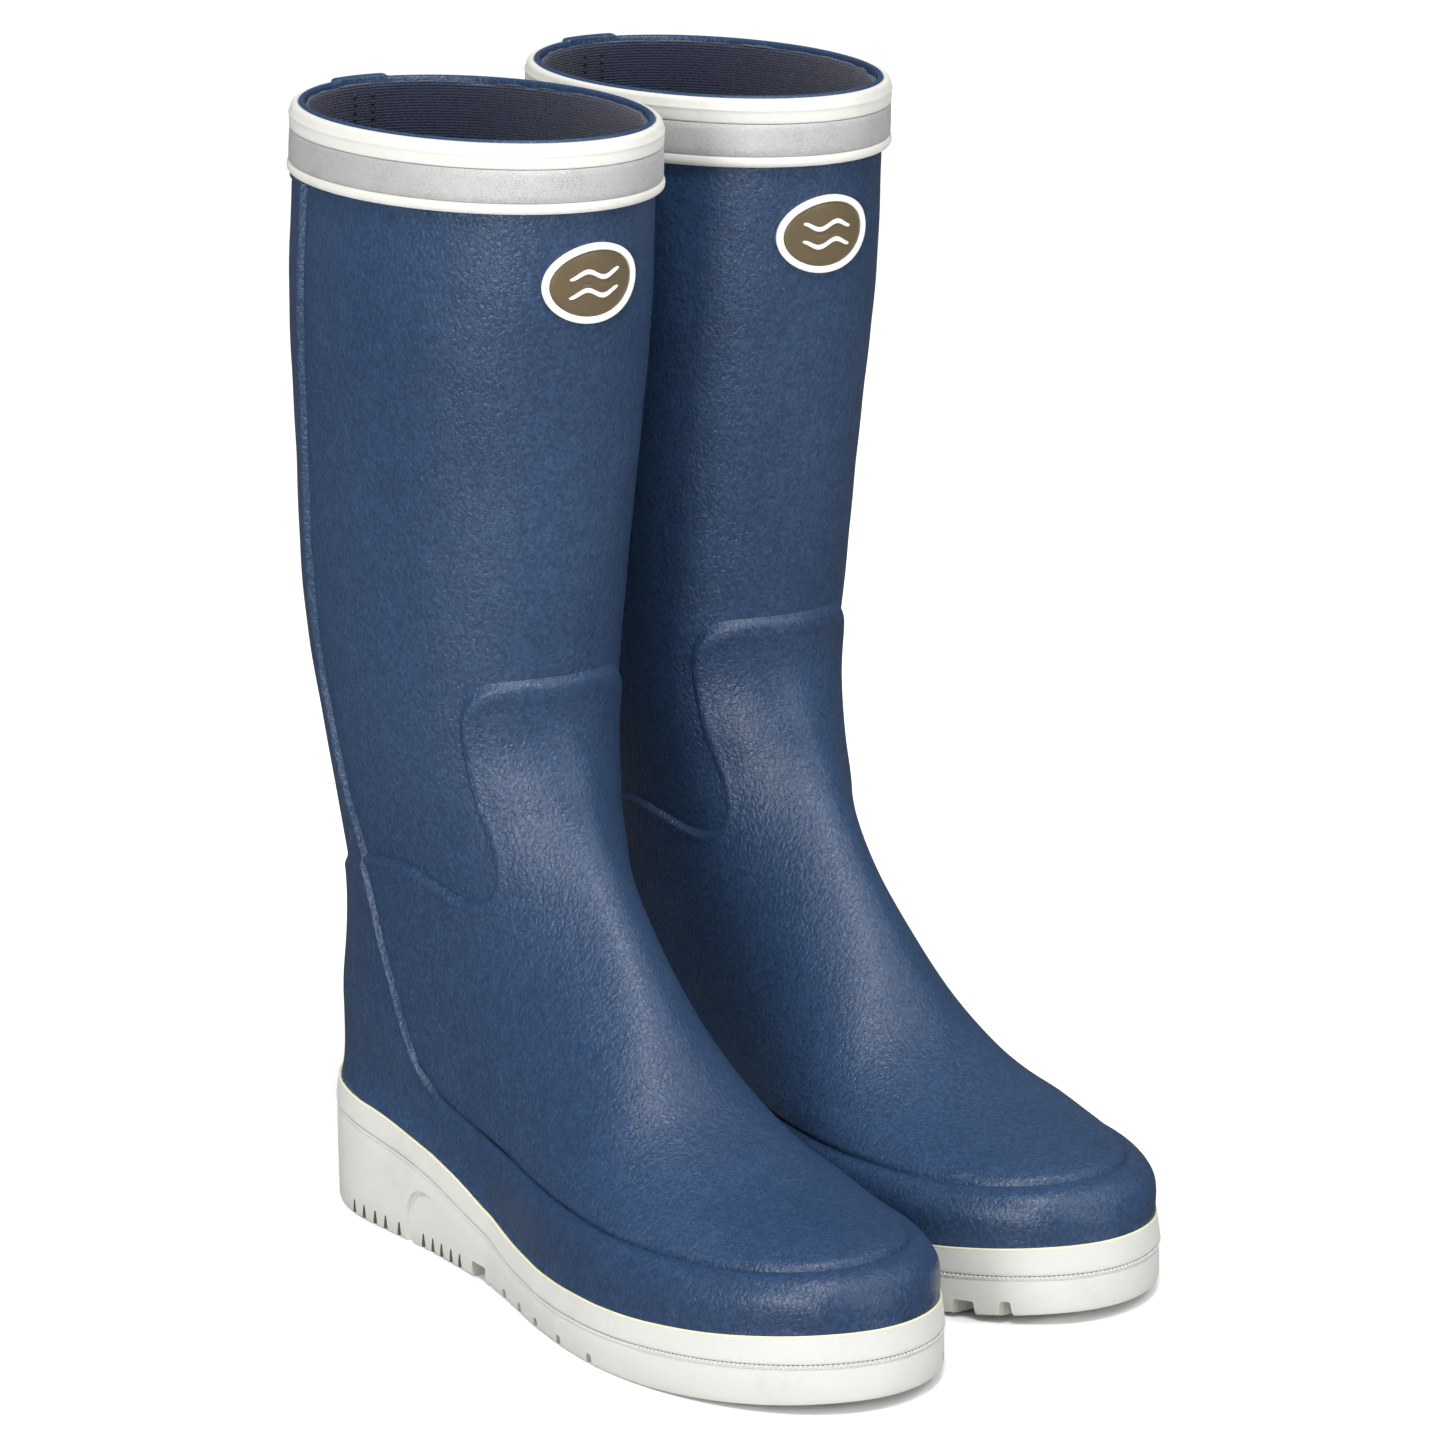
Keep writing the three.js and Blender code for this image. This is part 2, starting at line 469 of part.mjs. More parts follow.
// ---------- both boots ----------
const pieces = [
  ['outsole', outsole, look.soleRubber],
  ['sole_band', soleBand, look.soleRubber],
  ['midsole_wedge', wedgePieces[0], look.foam],
  ['shank', shank, look.steel],
  ['foot_base', footBase, look.innerRubber],
  ['toe_puff', toePuff, look.innerRubber],
  ['heel_stiffener', heelStiffener, look.innerRubber],
  ['leg', leg, look.navyRubber],
  ['lining', lining, look.knit],
  ['insole_board', board, look.board],
  ['footbed', footbed, look.knit],
  ['vamp', vamp, look.navyRubber],
  ['rand', rand, look.navyRubber],
  ['back_stay', backStay, look.navyRubber],
  ['collar_band', collar, look.collarRubber],
  ['reflective_strip', reflector, look.silver],
  ['badge_plate', badgePlate, look.olive],
  ['badge_border', badgeBorder, look.white],
];

const sides = [
  { name: 'right', sign: -1, x: -PAIR_SPACING / 2, y: 0 },
  { name: 'left', sign: 1, x: PAIR_SPACING / 2, y: PAIR_STAGGER },
];

function place(body, side) {
  const mesh = body.getMesh();
  const count = mesh.vertProperties.length / mesh.numProp;
  const positions = new Float32Array(count * 3);
  for (let i = 0; i < count; i += 1) {
    const k = i * mesh.numProp;
    positions[i * 3] = side.x + side.sign * mesh.vertProperties[k];
    positions[i * 3 + 1] = side.y - mesh.vertProperties[k + 1];
    positions[i * 3 + 2] = mesh.vertProperties[k + 2];
  }
  const index = new Uint32Array(mesh.triVerts);
  if (side.sign > 0) {
    for (let i = 0; i < index.length; i += 3) [index[i + 1], index[i + 2]] = [index[i + 2], index[i + 1]];
  }
  const geometry = new THREE.BufferGeometry();
  geometry.setAttribute('position', new THREE.BufferAttribute(positions, 3));
  geometry.setIndex(new THREE.BufferAttribute(index, 1));
  return geometry;
}

const group = new THREE.Group();
group.name = 'deck_boots';
for (const side of sides) {
  for (const [name, body, material] of pieces) {
    const geometry = place(body, side);
    const mesh = new THREE.Mesh(geometry, material());
    mesh.name = `${side.name}_${name}`;
    group.add(mesh);
  }
}

// Put the pair's footprint in the middle of the frame.
const span = new THREE.Box3();
for (const mesh of group.children) {
  mesh.geometry.computeBoundingBox();
  span.union(mesh.geometry.boundingBox);
}
const centre = span.getCenter(new THREE.Vector3());
for (const mesh of group.children) {
  mesh.geometry.translate(-centre.x, -centre.y, 0);
  mesh.geometry.computeVertexNormals();
}

export default group;
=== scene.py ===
"""A pair of knee-high rubber deck boots for sailing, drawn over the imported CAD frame.

Each boot is drawn in its own frame, in millimetres, and then set down where its CAD nodes stand:
x outwards from the boot's middle, f forwards from the back of the sole, z up from the deck.
Every rubber layer follows one surface, the last, at its own distance from it.
"""
import math

import bmesh
import bpy
import numpy as np
from mathutils import Euler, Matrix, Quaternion, Vector


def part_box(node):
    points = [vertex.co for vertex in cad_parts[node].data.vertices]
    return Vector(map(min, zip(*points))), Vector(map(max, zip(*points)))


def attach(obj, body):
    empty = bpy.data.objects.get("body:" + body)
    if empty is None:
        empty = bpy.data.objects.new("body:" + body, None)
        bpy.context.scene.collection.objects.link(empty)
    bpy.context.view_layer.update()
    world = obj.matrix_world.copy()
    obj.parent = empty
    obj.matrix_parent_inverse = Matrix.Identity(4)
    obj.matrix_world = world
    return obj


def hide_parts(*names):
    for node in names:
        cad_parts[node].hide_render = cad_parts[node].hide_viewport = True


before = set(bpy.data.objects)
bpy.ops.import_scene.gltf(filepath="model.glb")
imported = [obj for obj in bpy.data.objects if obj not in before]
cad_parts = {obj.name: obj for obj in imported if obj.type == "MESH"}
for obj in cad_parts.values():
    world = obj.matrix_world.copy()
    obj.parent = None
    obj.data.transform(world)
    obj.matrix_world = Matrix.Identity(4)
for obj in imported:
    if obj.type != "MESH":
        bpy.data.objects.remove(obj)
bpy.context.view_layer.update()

# Sizes in millimetres. The sole is round behind HEEL_CAP and in front of TOE_START, the back stay
# meets the rand at JOIN_F, and FAR and BEHIND lie clear of the boot. TURNS is the number of steps
# round a layer. The lining's inner face and its stitches lie inside the last.
PI = math.pi
SHAFT_HEIGHT = 374
COLLAR_LOW = 351.6
SOLE_LENGTH = 300
HEEL_HALF = 38
BALL_HALF = 52.5
HEEL_CAP = 50
TOE_START = 213
JOIN_F = 86
FAR = 340
BEHIND = -40
TURNS = 132
LINING_IN = -3.6
STITCH_IN = -3.9


class Boot:
    """One boot: where its own frame lies in the shared frame."""

    def __init__(self, name, sign):
        self.name = name
        self.sign = sign
        self.body = name + "_boot"
        leg_low, leg_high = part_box(name + "_leg")
        sole_low, sole_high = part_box(name + "_outsole")
        self.x = (leg_low.x + leg_high.x) / 2
        self.y = sole_high.y

    def place(self, points):
        points = np.asarray(points, float)
        world = np.empty_like(points)
        world[:, 0] = self.x + self.sign * points[:, 0] / 1000
        world[:, 1] = self.y - points[:, 1] / 1000
        world[:, 2] = points[:, 2] / 1000
        return world


BOOTS = [Boot("right", -1), Boot("left", 1)]


# ---------- sole outline and side-view lines, as (f, half width), (f, shift) or (f, z) ----------
def smoothstep(low, high, v):
    t = np.clip((np.asarray(v, float) - low) / (high - low), 0, 1)
    return t * t * (3 - 2 * t)


def line_at(line, f):
    return np.interp(f, *zip(*line))


WAIST = [(50, 38), (90, 37), (130, 39), (150, 43), (172, 48), (192, 51), (213, 52.5)]
SWING = [(0, 0), (45, 0), (205, 0.5), (260, -0.9), (300, -1.5)]
SOLE_TOP = [(0, 43), (35, 42), (60, 40), (80, 36), (107, 30.5), (129, 24), (150, 20.5),
            (180, 19.5), (232, 21), (262, 23), (300, 27)]
GROOVE = [(0, 34.4), (40, 33.2), (74, 29.2), (94, 25), (118, 19.2), (148, 12.7), (183, 11.5),
          (232, 13), (262, 14.6), (300, 17.5)]
SPRING = [(0, 0), (225, 0), (245, 0.33), (265, 1.32), (285, 3.0), (300, 4.7)]
TRAY = [(0, 11), (80, 10), (150, 8), (300, 13.7)]


def half_width(f, inset=0.0):
    f = np.asarray(f, float)
    heel = np.clip((HEEL_CAP - f) / (HEEL_CAP - inset), 0, 1)
    toe = np.clip((f - TOE_START) / (SOLE_LENGTH - inset - TOE_START), 0, 1)
    at_heel = (HEEL_HALF - inset) * np.sqrt(np.maximum(1 - heel * heel, 0))
    at_toe = (BALL_HALF - inset) * np.sqrt(np.maximum(1 - toe ** 2.1, 0))
    side = line_at(WAIST, f) - inset
    return np.where(f < HEEL_CAP, at_heel, np.where(f > TOE_START, at_toe, side))


def middle(f):
    return line_at(SWING, f)


def eased(corners, steps=6):
    """A smooth line through side-view corners."""
    points = [np.array(p, float) for p in corners]
    made = []
    for i in range(len(points) - 1):
        p0 = points[max(i - 1, 0)]
        p1 = points[i]
        p2 = points[i + 1]
        p3 = points[min(i + 2, len(points) - 1)]
        for k in range(steps):
            t = k / steps
            bend = 2 * p0 - 5 * p1 + 4 * p2 - p3
            made.append(0.5 * (2 * p1 + (p2 - p0) * t + bend * t * t
                               + (3 * p1 - p0 - 3 * p2 + p3) * t ** 3))
    made.append(points[-1])
    return [tuple(p) for p in made]


def line_smooth(line, f):
    """Height along a line, with the corners between its stretches rounded off."""
    f = np.asarray(f, float)
    reach = 6.0
    total = 0
    for shift in (-1, -0.5, 0, 0.5, 1):
        total = total + line_at(line, f + shift * reach)
    return total / 5


def sole_top(f):
    return line_smooth(SOLE_TOP, f)


def groove_line(f):
    return line_smooth(GROOVE, f)


def spring(f):
    return line_smooth(SPRING, f)


# ---------- the last ----------
# Front point f, z; back point f, z; half width; widest place between front and back;
# squareness of the front and of the back; sideways shift; share of the half width on the outer side.
# The foot's rows leave out the half width and the shift, which follow from the sole's outline.
def last_rows():
    leg = [
        (147, 392, -2, 392, 49.5, 0.5, 2, 2, 0),
        (145.5, 374, -2, 374, 49.5, 0.5, 2, 2, 0),
        (140, 318, -4.5, 318, 51.5, 0.5, 2, 2, 0),
        (131.5, 265, -5, 260, 49.5, 0.5, 2, 2, 0),
        (124, 217, -3, 197, 46.5, 0.5, 2, 2, 0),
        (119.5, 178, 8.5, 142, 41.5, 0.5, 2, 2, 0),
        (127, 158, 11, 100, 36, 0.5, 2, 2.1, 0),
        (133, 146, 8, 58, 34.5, 0.52, 2, 2.3, 0),
        (142, 133.5, 17, 28.5, 33.5, 0.58, 2, 2.6, 0),
    ]
    foot = [
        (157, 115, 60, 25.5, 0.64, 2, 3),
        (178.5, 90.5, 110, 22.5, 0.66, 2.1, 3),
        (199.5, 67, 160, 18, 0.66, 2.2, 3.2),
        (223, 54, 205, 16.5, 0.64, 2.3, 3.2),
        (249, 48, 242, 17.5, 0.62, 2.4, 3.2),
        (271, 46.5, 269, 19.5, 0.6, 2.4, 3),
        (285, 44, 283.5, 22, 0.58, 2.4, 2.7),
        (291.5, 38, 291, 26.5, 0.55, 2.2, 2.3),
    ]
    rows = list(leg)
    for ff, fz, bf, bz, c, nf, nb in foot:
        wide = ff + (bf - ff) * c
        rows.append((ff, fz, bf, bz, float(half_width(wide, 5)), c, nf, nb, float(middle(wide))))
    rows.append((293.5, 32.5, 293.5, 31.5, 0, 0.5, 2, 2, float(middle(293.5))))
    outer = np.ones(len(rows))
    outer[8:13] = (0.975, 0.94, 0.925, 0.94, 0.97)
    return np.column_stack([np.array(rows, float), outer])


ROWS = last_rows()
S_END = len(ROWS) - 1


def last_point(s, t):
    s = np.clip(s, 0, S_END)
    k = np.clip(np.floor(s).astype(int), 0, S_END - 1)
    u = (s - k)[:, None]
    p0 = ROWS[np.maximum(k - 1, 0)]
    p1 = ROWS[k]
    p2 = ROWS[k + 1]
    p3 = ROWS[np.minimum(k + 2, S_END)]
    bend = 2 * p0 - 5 * p1 + 4 * p2 - p3
    row = 0.5 * (2 * p1 + (p2 - p0) * u + bend * u ** 2 + (3 * p1 - p0 - 3 * p2 + p3) * u ** 3)
    ff, fz, bf, bz, w, c, nf, nb, shift, outer = row.T
    w = np.maximum(w, 0)
    co = np.cos(t)
    si = np.sin(t)
    n = np.where(co > 0, nf, nb)
    reach = np.abs(co) ** (2 / n)
    a = np.where(co > 0, c * (1 - reach), c + (1 - c) * reach)
    x = shift + w * np.where(si > 0, outer, 1) * np.sign(si) * np.abs(si) ** (2 / n)
    return np.stack([x, ff + (bf - ff) * a, fz + (bz - fz) * a], 1)


def last_normal(s, t):
    s_asked = s
    s = np.clip(s, 0.0, S_END - 0.04)
    h = 0.012
    ds = last_point(s + h, t) - last_point(np.maximum(s - h, 0), t)
    dt = last_point(s, t + h) - last_point(s, t - h)
    n = np.cross(dt, ds)
    n = n / np.maximum(np.linalg.norm(n, axis=1, keepdims=True), 1e-9)
    ahead = smoothstep(S_END - 0.75, S_END, s_asked)[:, None]
    n = n * (1 - ahead) + np.array([0.0, 1.0, 0.0]) * ahead
    return n / np.linalg.norm(n, axis=1, keepdims=True)


def unevenness(p):
    """Slow hand-laid waviness of the rubber, a fraction of a millimetre."""
    x, f, z = p.T
    wave = np.sin(x * 0.071 + z * 0.043 + 1.1) * np.sin(f * 0.052 - z * 0.031 + 0.4)
    ripple = np.sin(f * 0.113 + z * 0.087 + x * 0.05) * np.sin(z * 0.147 - x * 0.091 + 2.0)
    ankle = np.exp(-((z - 150) / 38) ** 2)
    crease = np.sin(z * 0.23 + np.abs(x) * 0.06) * smoothstep(70, 125, f)
    fade = smoothstep(SHAFT_HEIGHT, SHAFT_HEIGHT - 45, z) * smoothstep(20, 60, z)
    return (0.28 * wave + 0.12 * ripple + 0.16 * ankle * crease) * fade


def lifted(s, t, height):
    """Points at a height above the last, height one number or one for each point."""
    p = last_point(s, t)
    return p + last_normal(s, t) * (height + unevenness(p))[:, None]


LEG_SLICES = np.linspace(0, 3, 600)
LEG_HEIGHTS = last_point(LEG_SLICES, 0.0)[:, 2]


def s_at(z):
    """Slice of the leg at a level height, near the rim where slices lie level."""
    return np.interp(-np.asarray(z, float), -LEG_HEIGHTS, LEG_SLICES)


# ---------- grids on the last, cut along side-view lines ----------
def slices_between(s0, s1, pitch):
    """Slices from s0 to s1, about the pitch apart where the last is longest."""
    s = np.linspace(s0, s1, 3000)
    far = np.zeros(2999)
    for turn in (0.0, PI / 2, PI):
        p = last_point(s, turn)
        far = np.maximum(far, np.linalg.norm(np.diff(p, axis=0), axis=1))
    run = np.concatenate([[0], np.cumsum(far)])
    count = int(run[-1] / pitch) + 2
    return np.interp(np.linspace(0, run[-1], count), run, s)


class Sheet:
    """A triangle grid over part of the last, each point kept as its slice and its turn."""

    def __init__(self, s_values, turns=TURNS):
        t_values = np.linspace(-PI, PI, turns + 1)
        s, t = np.meshgrid(s_values, t_values, indexing="ij")
        self.st = np.stack([s.ravel(), t.ravel()], 1)
        rows, cols = s.shape
        at = np.arange(rows * cols).reshape(rows, cols)
        a = at[:-1, :-1].ravel()
        b = at[:-1, 1:].ravel()
        c = at[1:, 1:].ravel()
        d = at[1:, :-1].ravel()
        self.tris = np.concatenate([np.stack([a, b, c], 1), np.stack([a, c, d], 1)])

    def points(self):
        return last_point(self.st[:, 0], self.st[:, 1])

    def split(self, value_at, levels, keep_above=None):
        """Adds points where the value at (f, z) reaches each level, and drops what lies below keep_above."""
        values = value_at(*side_view(self))
        for level in levels:
            over = values[self.tris] > level
            count = over.sum(1)
            whole = self.tris[(count == 0) | (count == 3)]
            mask = (count == 1) | (count == 2)
            crossed = self.tris[mask]
            if len(crossed) == 0:
                continue
            lone = np.argmax(over[mask] == (count[mask] == 1)[:, None], axis=1)
            order = (lone[:, None] + np.arange(3)) % 3
            a, b, c = crossed[np.arange(len(crossed))[:, None], order].T
            edges = np.sort(np.concatenate([np.stack([a, b], 1), np.stack([a, c], 1)]), axis=1)
            single, inverse = np.unique(edges, axis=0, return_inverse=True)
            inverse = inverse.ravel()
            v0 = values[single[:, 0]]
            v1 = values[single[:, 1]]
            share = ((level - v0) / (v1 - v0))[:, None]
            fresh = self.st[single[:, 0]] * (1 - share) + self.st[single[:, 1]] * share
            ids = len(self.st) + inverse
            ab = ids[:len(a)]
            ac = ids[len(a):]
            self.st = np.concatenate([self.st, fresh])
            values = np.concatenate([values, np.full(len(single), float(level))])
            self.tris = np.concatenate([whole, np.stack([a, ab, ac], 1), np.stack([ab, b, c], 1),
                                        np.stack([ab, c, ac], 1)])
        if keep_above is not None:
            mean = values[self.tris].mean(1)
            self.tris = self.tris[mean > keep_above]
            used = np.unique(self.tris)
            where = np.full(len(self.st), -1)
            where[used] = np.arange(len(used))
            self.tris = where[self.tris]
            self.st = self.st[used]


def depth_inside(polygon, f, z):
    """Distance from each side-view point to the outline, positive inside it."""
    corners = np.array(polygon, float)
    ends = np.roll(corners, -1, axis=0)
    best = np.full(len(f), 1e9)
    inside = np.zeros(len(f), bool)
    for (f0, z0), (f1, z1) in zip(corners, ends):
        ef = f1 - f0
        ez = z1 - z0
        length = max(ef * ef + ez * ez, 1e-9)
        u = np.clip(((f - f0) * ef + (z - z0) * ez) / length, 0, 1)
        best = np.minimum(best, np.hypot(f - f0 - u * ef, z - z0 - u * ez))
        if z0 != z1:
            crosses = ((z0 > z) != (z1 > z)) & (f < f0 + (z - z0) / (z1 - z0) * ef)
            inside ^= crosses
    return np.where(inside, best, -best)


def side_view(sheet):
    p = sheet.points()
    return p[:, 1], p[:, 2]


# ---------- side-view outlines of the panels ----------
VAMP_CORNERS = [(126, 196.5), (118, 196), (112, 194.8), (107.5, 191.5), (104.7, 186), (103.5, 178),
                (104.4, 167), (107, 156), (111, 146), (114.2, 137.5), (115.2, 130.5), (113, 125),
                (107, 122.6), (98, 123.8), (86, 127.6), (76, 129.6), (64, 129.2), (50, 127),
                (34, 122.6), (20, 119.4)]
VAMP = [(FAR, -20), (FAR, 197), (150, 198)] + eased(VAMP_CORNERS) + [(BEHIND, 119), (BEHIND, -20)]
STAY_EDGE = [(45.5, 352), (44, 330), (41.5, 290), (39, 240), (39.2, 195), (43, 174), (47, 156),
             (53, 129), (61, 107), (68.5, 88), (74.5, 70), (79.5, 60.5)]
RAND_TOP = [(86, 55), (94, 51.5), (107, 48.6), (122, 46), (144, 43), (172, 41.2), (210, 40.2),
            (248, 40.2), (268, 41.2), (286, 43)]
OUTER = (eased(STAY_EDGE + RAND_TOP) + [(FAR, 45), (FAR, -20), (BEHIND, -20), (BEHIND, 352)])


def vamp_depth(f, z):
    return depth_inside(VAMP, f, z)


def outer_depth(f, z):
    return depth_inside(OUTER, f, z)


# ---------- meshes ----------
def clean(mesh, distance=3e-5):
    bm = bmesh.new()
    bm.from_mesh(mesh)
    bmesh.ops.remove_doubles(bm, verts=bm.verts, dist=distance)
    bmesh.ops.dissolve_degenerate(bm, dist=1e-6, edges=bm.edges)
    bm.to_mesh(mesh)
    bm.free()


def turn_outwards(mesh):
    bm = bmesh.new()
    bm.from_mesh(mesh)
    bmesh.ops.recalc_face_normals(bm, faces=bm.faces)
    bm.to_mesh(mesh)
    bm.free()


def add_piece(name, boot, points, faces, materials, face_slots=None, flip=False, weld=3e-5):
    mesh = bpy.data.meshes.new(name)
    world = boot.place(points)
    turned = (boot.sign > 0) != flip
    listed = [list(reversed(face)) if turned else list(face) for face in faces]
    mesh.from_pydata(world.tolist(), [], listed)
    for material in materials:
        mesh.materials.append(material)
    if face_slots is not None:
        mesh.polygons.foreach_set("material_index", np.asarray(face_slots, np.int32))
    if weld:
        clean(mesh, weld)
    mesh.polygons.foreach_set("use_smooth", np.ones(len(mesh.polygons), bool))
    piece = bpy.data.objects.new(name, mesh)
    bpy.context.scene.collection.objects.link(piece)
    return piece


def settle(piece, boot, node):
    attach(piece, boot.body)
    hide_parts(boot.name + "_" + node)
    return piece


def apply_modifiers(piece):
    graph = bpy.context.evaluated_depsgraph_get()
    graph.update()
    made = bpy.data.meshes.new_from_object(piece.evaluated_get(graph))
    old = piece.data
    piece.modifiers.clear()
    piece.data = made
    bpy.data.meshes.remove(old)


def sweep_faces(rows, m, closed_rows=True, closed_row=False, start=0):
    """Quads between rows of m points each, one row after another."""
    faces = []
    for j in range(rows if closed_rows else rows - 1):
        a = start + j * m
        b = start + (j + 1) % rows * m
        for i in range(m if closed_row else m - 1):
            n = (i + 1) % m
            faces.append((a + i, b + i, b + n, a + n))
    return faces


def wall_faces(rings, m, start=0):
    """Quads between closed rings of m points each, wound the other way round."""
    return [(a, d, c, b) for a, b, c, d in sweep_faces(rings, m, False, True, start)]


# ---------- materials ----------
class Nodes:
    """A small helper that adds and links shader nodes."""

    def __init__(self, name):
        self.material = bpy.data.materials.new(name)
        self.material.use_nodes = True
        self.tree = self.material.node_tree
        self.tree.nodes.clear()
        self.shader = self.tree.nodes.new("ShaderNodeBsdfPrincipled")
        output = self.tree.nodes.new("ShaderNodeOutputMaterial")
        self.tree.links.new(self.shader.outputs["BSDF"], output.inputs["Surface"])
        self.place = self.tree.nodes.new("ShaderNodeTexCoord").outputs["Object"]

    def node(self, kind, values=None, **links):
        made = self.tree.nodes.new(kind)
        for key, value in (values or {}).items():
            made.inputs[key].default_value = value
        for key, source in links.items():
            self.tree.links.new(source, made.inputs[key])
        return made

    def mapped(self, scale):
        made = self.node("ShaderNodeMapping", {"Scale": scale}, Vector=self.place)
        return made.outputs["Vector"]

    def noise(self, scale, detail=3.0, rough=0.5, distortion=0.0, stretch=(1, 1, 1)):
        place = self.place if stretch == (1, 1, 1) else self.mapped(stretch)
        values = {"Scale": scale, "Detail": detail, "Roughness": rough, "Distortion": distortion}
        return self.node("ShaderNodeTexNoise", values, Vector=place).outputs["Fac"]

    def ramp(self, source, stops):
        made = self.node("ShaderNodeValToRGB", Fac=source)
        band = made.color_ramp
        while len(band.elements) < len(stops):
            band.elements.new(0.5)
        for element, (position, colour) in zip(band.elements, stops):
            element.position = position
            element.color = (*colour, 1)
        return made.outputs["Color"]

    def fit(self, source, low, high, to_low, to_high):
        values = {"From Min": low, "From Max": high, "To Min": to_low, "To Max": to_high}
        return self.node("ShaderNodeMapRange", values, Value=source).outputs["Result"]

    def sums(self, a, b, share=1.0):
        made = self.node("ShaderNodeMath")
        made.operation = "MULTIPLY_ADD"
        self.tree.links.new(b, made.inputs[0])
        made.inputs[1].default_value = share
        self.tree.links.new(a, made.inputs[2])
        return made.outputs[0]

    def mix(self, factor, a, b, kind="MIX"):
        made = self.tree.nodes.new("ShaderNodeMix")
        made.data_type = "RGBA"
        made.blend_type = kind
        for socket, value in ((made.inputs[0], factor), (made.inputs[6], a), (made.inputs[7], b)):
            if isinstance(value, bpy.types.NodeSocket):
                self.tree.links.new(value, socket)
            elif isinstance(value, tuple):
                socket.default_value = (*value, 1)
            else:
                socket.default_value = value
        return made.outputs[2]

    def bump(self, height, distance, strength=1.0, after=None):
        made = self.node("ShaderNodeBump", {"Distance": distance, "Strength": strength}, Height=height)
        if after is not None:
            self.tree.links.new(after, made.inputs["Normal"])
        return made.outputs["Normal"]

    def finish(self, colour, roughness, normal, **fixed):
        if isinstance(colour, tuple):
            self.shader.inputs["Base Color"].default_value = (*colour, 1)
        else:
            self.tree.links.new(colour, self.shader.inputs["Base Color"])
        if isinstance(roughness, float):
            self.shader.inputs["Roughness"].default_value = roughness
        else:
            self.tree.links.new(roughness, self.shader.inputs["Roughness"])
        if normal is not None:
            self.tree.links.new(normal, self.shader.inputs["Normal"])
        for key, value in fixed.items():
            self.shader.inputs[key.replace("_", " ")].default_value = value
        return self.material


def worn_edges(n, colour, lighter_tone, amount):
    """Lighter rubber where an edge or a crest has been rubbed."""
    point = n.node("ShaderNodeNewGeometry").outputs["Pointiness"]
    edge = n.fit(point, 0.53, 0.62, 0.0, amount)
    return n.mix(edge, colour, lighter_tone)


def blue_rubber(name, dark, light, lighter_tone, grain=1.0):
    n = Nodes(name)
    cloud = n.noise(9, 4, 0.55)
    mottle = n.noise(150, 3, 0.6)
    blend = n.sums(cloud, mottle, 0.3)
    colour = n.ramp(blend, [(0.5, dark), (0.8, light)])
    hide = n.noise(820, 2, 0.5, 0.6, (1, 1, 0.8))
    crease = n.fit(n.noise(260, 3, 0.6, 1.0, (1, 1, 0.7)), 0.4, 0.62, 0.0, 1.0)
    pores = n.noise(2100, 2, 0.6)
    relief = n.sums(n.sums(hide, crease, 0.1), pores, 0.2)
    # Painted shade: the grain's low places are darkened in the colour, towards a third of the dark tone.
    valley = n.fit(relief, 0.54, 0.7, 0.3, 0.0)
    painted_grain_colour = n.mix(valley, colour, tuple(0.3 * c for c in dark))
    # Painted glint: the grain's high places are lightened towards the lighter tone.
    crest = n.fit(relief, 0.74, 0.9, 0.0, 0.14)
    painted_grain_colour = n.mix(crest, painted_grain_colour, lighter_tone)
    painted_grain_colour = worn_edges(n, painted_grain_colour, lighter_tone, 0.3)
    shine = n.fit(n.sums(hide, pores, 0.8), 0.6, 1.2, 0.28, 0.4)
    normal = n.bump(relief, 0.00046 * grain, 0.9)
    slow = n.bump(n.noise(38, 3, 0.5), 0.0014, 0.25, normal)
    return n.finish(painted_grain_colour, shine, slow, Specular_IOR_Level=0.5)


def pale_rubber(name, main_tone, darker_tone, lighter_tone, grain=0.0002, rough=(0.5, 0.68), low=None):
    n = Nodes(name)
    cloud = n.noise(24, 4, 0.6)
    speck = n.noise(420, 3, 0.65)
    # A cloud between the darker and the main tone; in the two recess rubbers both tones are painted shade.
    colour = n.ramp(n.sums(cloud, speck, 0.3), [(0.42, darker_tone), (0.62, main_tone)])
    if low is not None:
        # Darker towards the bottom: up to about 16 mm above the deck the colour goes towards the low colour,
        # with a ragged upper edge.
        height = n.node("ShaderNodeSeparateXYZ", Vector=n.place).outputs["Z"]
        ragged_height = n.sums(height, n.noise(70, 3, 0.6), 0.012)
        near_deck = n.fit(ragged_height, 0.004, 0.016, 0.55, 0.0)
        colour = n.mix(near_deck, colour, low)
    colour = worn_edges(n, colour, lighter_tone, 0.3)
    shine = n.fit(speck, 0.3, 0.7, *rough)
    fine = n.noise(1300, 2, 0.6)
    normal = n.bump(n.sums(fine, n.noise(240, 3, 0.6), 0.8), grain, 0.6)
    return n.finish(colour, shine, normal, Specular_IOR_Level=0.42)


def reflective_film():
    n = Nodes("reflective_film")
    beads = n.node("ShaderNodeTexVoronoi", {"Scale": 3600.0}, Vector=n.place)
    glitter = beads.outputs["Color"]
    tone = n.node("ShaderNodeSeparateColor", Color=glitter).outputs["Red"]
    cloud = n.noise(60, 3, 0.6)
    colour = n.ramp(n.sums(tone, cloud, 0.9), [(0.3, (0.33, 0.34, 0.335)), (1.0, (0.50, 0.51, 0.505))])
    shine = n.fit(tone, 0.0, 1.0, 0.32, 0.6)
    normal = n.bump(n.sums(beads.outputs["Distance"], n.noise(500, 3, 0.6), 0.7), 0.00022, 0.5)
    return n.finish(colour, shine, normal, Metallic=0.35, Specular_IOR_Level=0.6)


